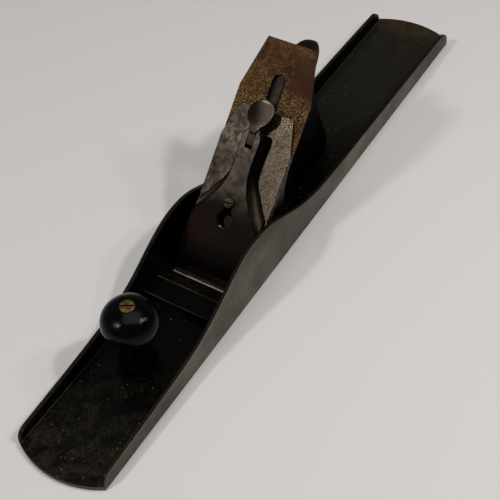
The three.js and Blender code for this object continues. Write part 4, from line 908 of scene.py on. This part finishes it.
class PLANE_OT_lever_cap(bpy.types.Operator):
    """Dress the lever cap with its screw, thumb lever, pin and spring"""

    bl_idname = "plane.lever_cap"
    bl_label = "Lever cap"

    def execute(self, context):
        sizes = context.scene.plane_sizes
        carried(["lever_cap"], "lever_cap", "lever_cap", "lever_cap_iron", sizes.cap_edge)
        (screw,) = carried(["lever_cap_screw"], "frog", "dull_brass", "nut_brass", sizes.small_edge)
        shade_and_dirty_slot(screw, BED_NORMAL, head_height=0.0026)
        lever = copy_of("cam_lever")
        softened(lever, sizes.thumb_grid, rounds=4)
        put(lever, "cam_lever", finish("thumb"), "lever_steel", "cam_lever")
        carried(["cam_pin", "spring_rivet"], "lever_cap", "lever_cap", "screw_steel", sizes.small_edge)
        carried(["cap_spring"], "lever_cap", "steel", "lever_steel", sizes.small_edge)
        return {"FINISHED"}


KNOB_NECK_SHARES = [(1, 0), (1, 0.05), (1, 0.09), (0.9, 0.15), (0.74, 0.27), (0.66, 0.42), (0.655, 0.5)]
KNOB_BALL_RINGS = 16
KNOB_BALL_END = math.pi * 0.97  # how far round the ball's outline goes, from its foot towards its top
KNOB_FULLNESS = 0.92  # less than one fills out the ball's section
DRILL_PAST = 0.001  # how far a drill goes past the wood


def knob_profile(sizes, foot, top):
    """The knob's outline from its foot to its top, as radius and height."""
    middle = top - sizes.knob_half_height
    profile = [(out * sizes.knob_base, foot + up * (middle - foot)) for out, up in KNOB_NECK_SHARES]
    start = math.asin(sizes.knob_neck / sizes.knob_radius)
    for ring in range(KNOB_BALL_RINGS + 1):
        turn = start + ring / KNOB_BALL_RINGS * (KNOB_BALL_END - start)
        out = math.sin(turn) ** KNOB_FULLNESS
        up = -math.copysign(abs(math.cos(turn)) ** KNOB_FULLNESS, math.cos(turn))
        profile.append((sizes.knob_radius * out, middle + sizes.knob_half_height * up))
    return profile


class PLANE_OT_knob(bpy.types.Operator):
    """Turn the front knob, and dress its rod and brass nut"""

    bl_idname = "plane.knob"
    bl_label = "Front knob"

    def execute(self, context):
        sizes = context.scene.plane_sizes
        low, high = (Vector(corner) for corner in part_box("front_knob"))
        middle = ((low + high) / 2)[:2]
        knob = turned_piece("turned_knob", middle, knob_profile(sizes, low.z, high.z))
        modify(knob, "SUBSURF", levels=1, render_levels=1)
        bore(knob, sizes.rod_bore, low.z - DRILL_PAST, high.z + DRILL_PAST, middle)
        bore(knob, sizes.nut_bore, high.z - sizes.nut_seat, high.z + DRILL_PAST, middle)
        eased(knob, sizes.steel_edge)
        put(knob, "plane_body", finish("knob"), "handle_wood", "front_knob")
        carried(["knob_rod"], "plane_body", "steel", "screw_steel", sizes.small_edge)
        (nut,) = carried(["knob_nut"], "plane_body", "brass", "nut_brass", sizes.small_edge)
        shade_and_dirty_slot(nut, UP, head_height=0.0024)
        return {"FINISHED"}


class PLANE_OT_tote(bpy.types.Operator):
    """Smooth the rear handle, and dress its rod, nut and toe screw"""

    bl_idname = "plane.tote"
    bl_label = "Rear handle"

    def execute(self, context):
        sizes = context.scene.plane_sizes
        tote = copy_of("tote")
        softened(tote, sizes.grip_grid, rounds=8)
        put(tote, "plane_body", finish("tote"), "handle_wood", "tote")
        carried(["tote_rod"], "plane_body", "steel", "screw_steel", sizes.small_edge)
        (nut,) = carried(["tote_nut"], "plane_body", "brass", "nut_brass", sizes.small_edge)
        shade_and_dirty_slot(nut, UP, head_height=0.0024)
        (screw,) = carried(["tote_toe_screw"], "plane_body", "steel", "screw_steel", sizes.small_edge)
        shade_and_dirty_slot(screw, UP, head_height=0.0022)
        return {"FINISHED"}


FLOOR_DROP = 0.0003  # keeps the floor clear of the sole
ROOM_COLOUR = (0.96, 0.98, 1.0, 1.0)
ROOM_STRENGTH = 0.13
SENSOR_WIDTH = 36.0
LAMPS = [  # name, place, size and power; each shines at the frame's origin
    ("toe_lamp", (1.309, -0.642, 1.468), 0.17, 9.0),
    ("side_lamp", (-0.127, 0.681, 1.107), 0.085, 3.8),
    ("heel_lamp", (-0.254, 0.681, 0.817), 0.08, 0.8),
    ("soft_ceiling", (-0.05, 0.1, 2.6), 2.0, 19.2),
]


class PLANE_OT_stage(bpy.types.Operator):
    """Make the floor, the lights and the camera"""

    bl_idname = "plane.stage"
    bl_label = "Floor, lights and camera"

    def execute(self, context):
        scene = context.scene
        tones = scene.plane_tones
        alone(None)
        bpy.ops.mesh.primitive_plane_add(size=scene.plane_sizes.floor_width, location=(0, 0, -FLOOR_DROP))
        floor = context.object
        floor.name = "floor"
        place_applied(floor)
        card = Finish("floor_card")
        card.set(Base_Color=(*tones.floor, 1.0), Roughness=0.55)
        floor.data.materials.append(card.material)

        world = bpy.data.worlds.new("room")
        world.use_nodes = True
        room = world.node_tree.nodes["Background"].inputs
        room["Color"].default_value = ROOM_COLOUR
        room["Strength"].default_value = ROOM_STRENGTH
        scene.world = world
        for name, place, size, power in LAMPS:
            light = bpy.data.lights.new(name, "AREA")
            light.size = size
            light.energy = power
            lamp = bpy.data.objects.new(name, light)
            lamp.location = place
            lamp.rotation_euler = (-Vector(place)).to_track_quat("-Z", "Y").to_euler()
            scene.collection.objects.link(lamp)

        camera = bpy.data.objects.new("camera", bpy.data.cameras.new("camera"))
        camera.data.lens = tones.lens
        camera.data.sensor_width = SENSOR_WIDTH
        camera.location = tones.camera_place
        camera.rotation_euler = Euler(tones.camera_turn, "XYZ")
        scene.collection.objects.link(camera)
        scene.camera = camera
        scene.view_settings.view_transform = "Standard"
        return {"FINISHED"}


OPERATORS = [
    PLANE_OT_stage,
    PLANE_OT_casting,
    PLANE_OT_frog,
    PLANE_OT_adjusters,
    PLANE_OT_irons,
    PLANE_OT_lever_cap,
    PLANE_OT_knob,
    PLANE_OT_tote,
]


class PLANE_PT_panel(bpy.types.Panel):
    """Lists the pieces of the plane"""

    bl_idname = "PLANE_PT_panel"
    bl_label = "Jointer plane"
    bl_space_type = "VIEW_3D"
    bl_region_type = "UI"
    bl_category = "Jointer plane"

    def draw(self, context):
        for operator in OPERATORS:
            self.layout.operator(operator.bl_idname)


CLASSES = [PlaneSizes, PlaneTones, *OPERATORS, PLANE_PT_panel]


def register():
    for kind in CLASSES:
        bpy.utils.register_class(kind)
    bpy.types.Scene.plane_sizes = bpy.props.PointerProperty(type=PlaneSizes)
    bpy.types.Scene.plane_tones = bpy.props.PointerProperty(type=PlaneTones)


def unregister():
    del bpy.types.Scene.plane_tones
    del bpy.types.Scene.plane_sizes
    for kind in reversed(CLASSES):
        bpy.utils.unregister_class(kind)


def main():
    register()
    for operator in OPERATORS:
        group, name = operator.bl_idname.split(".")
        getattr(getattr(bpy.ops, group), name)()


if __name__ == "__main__":
    main()
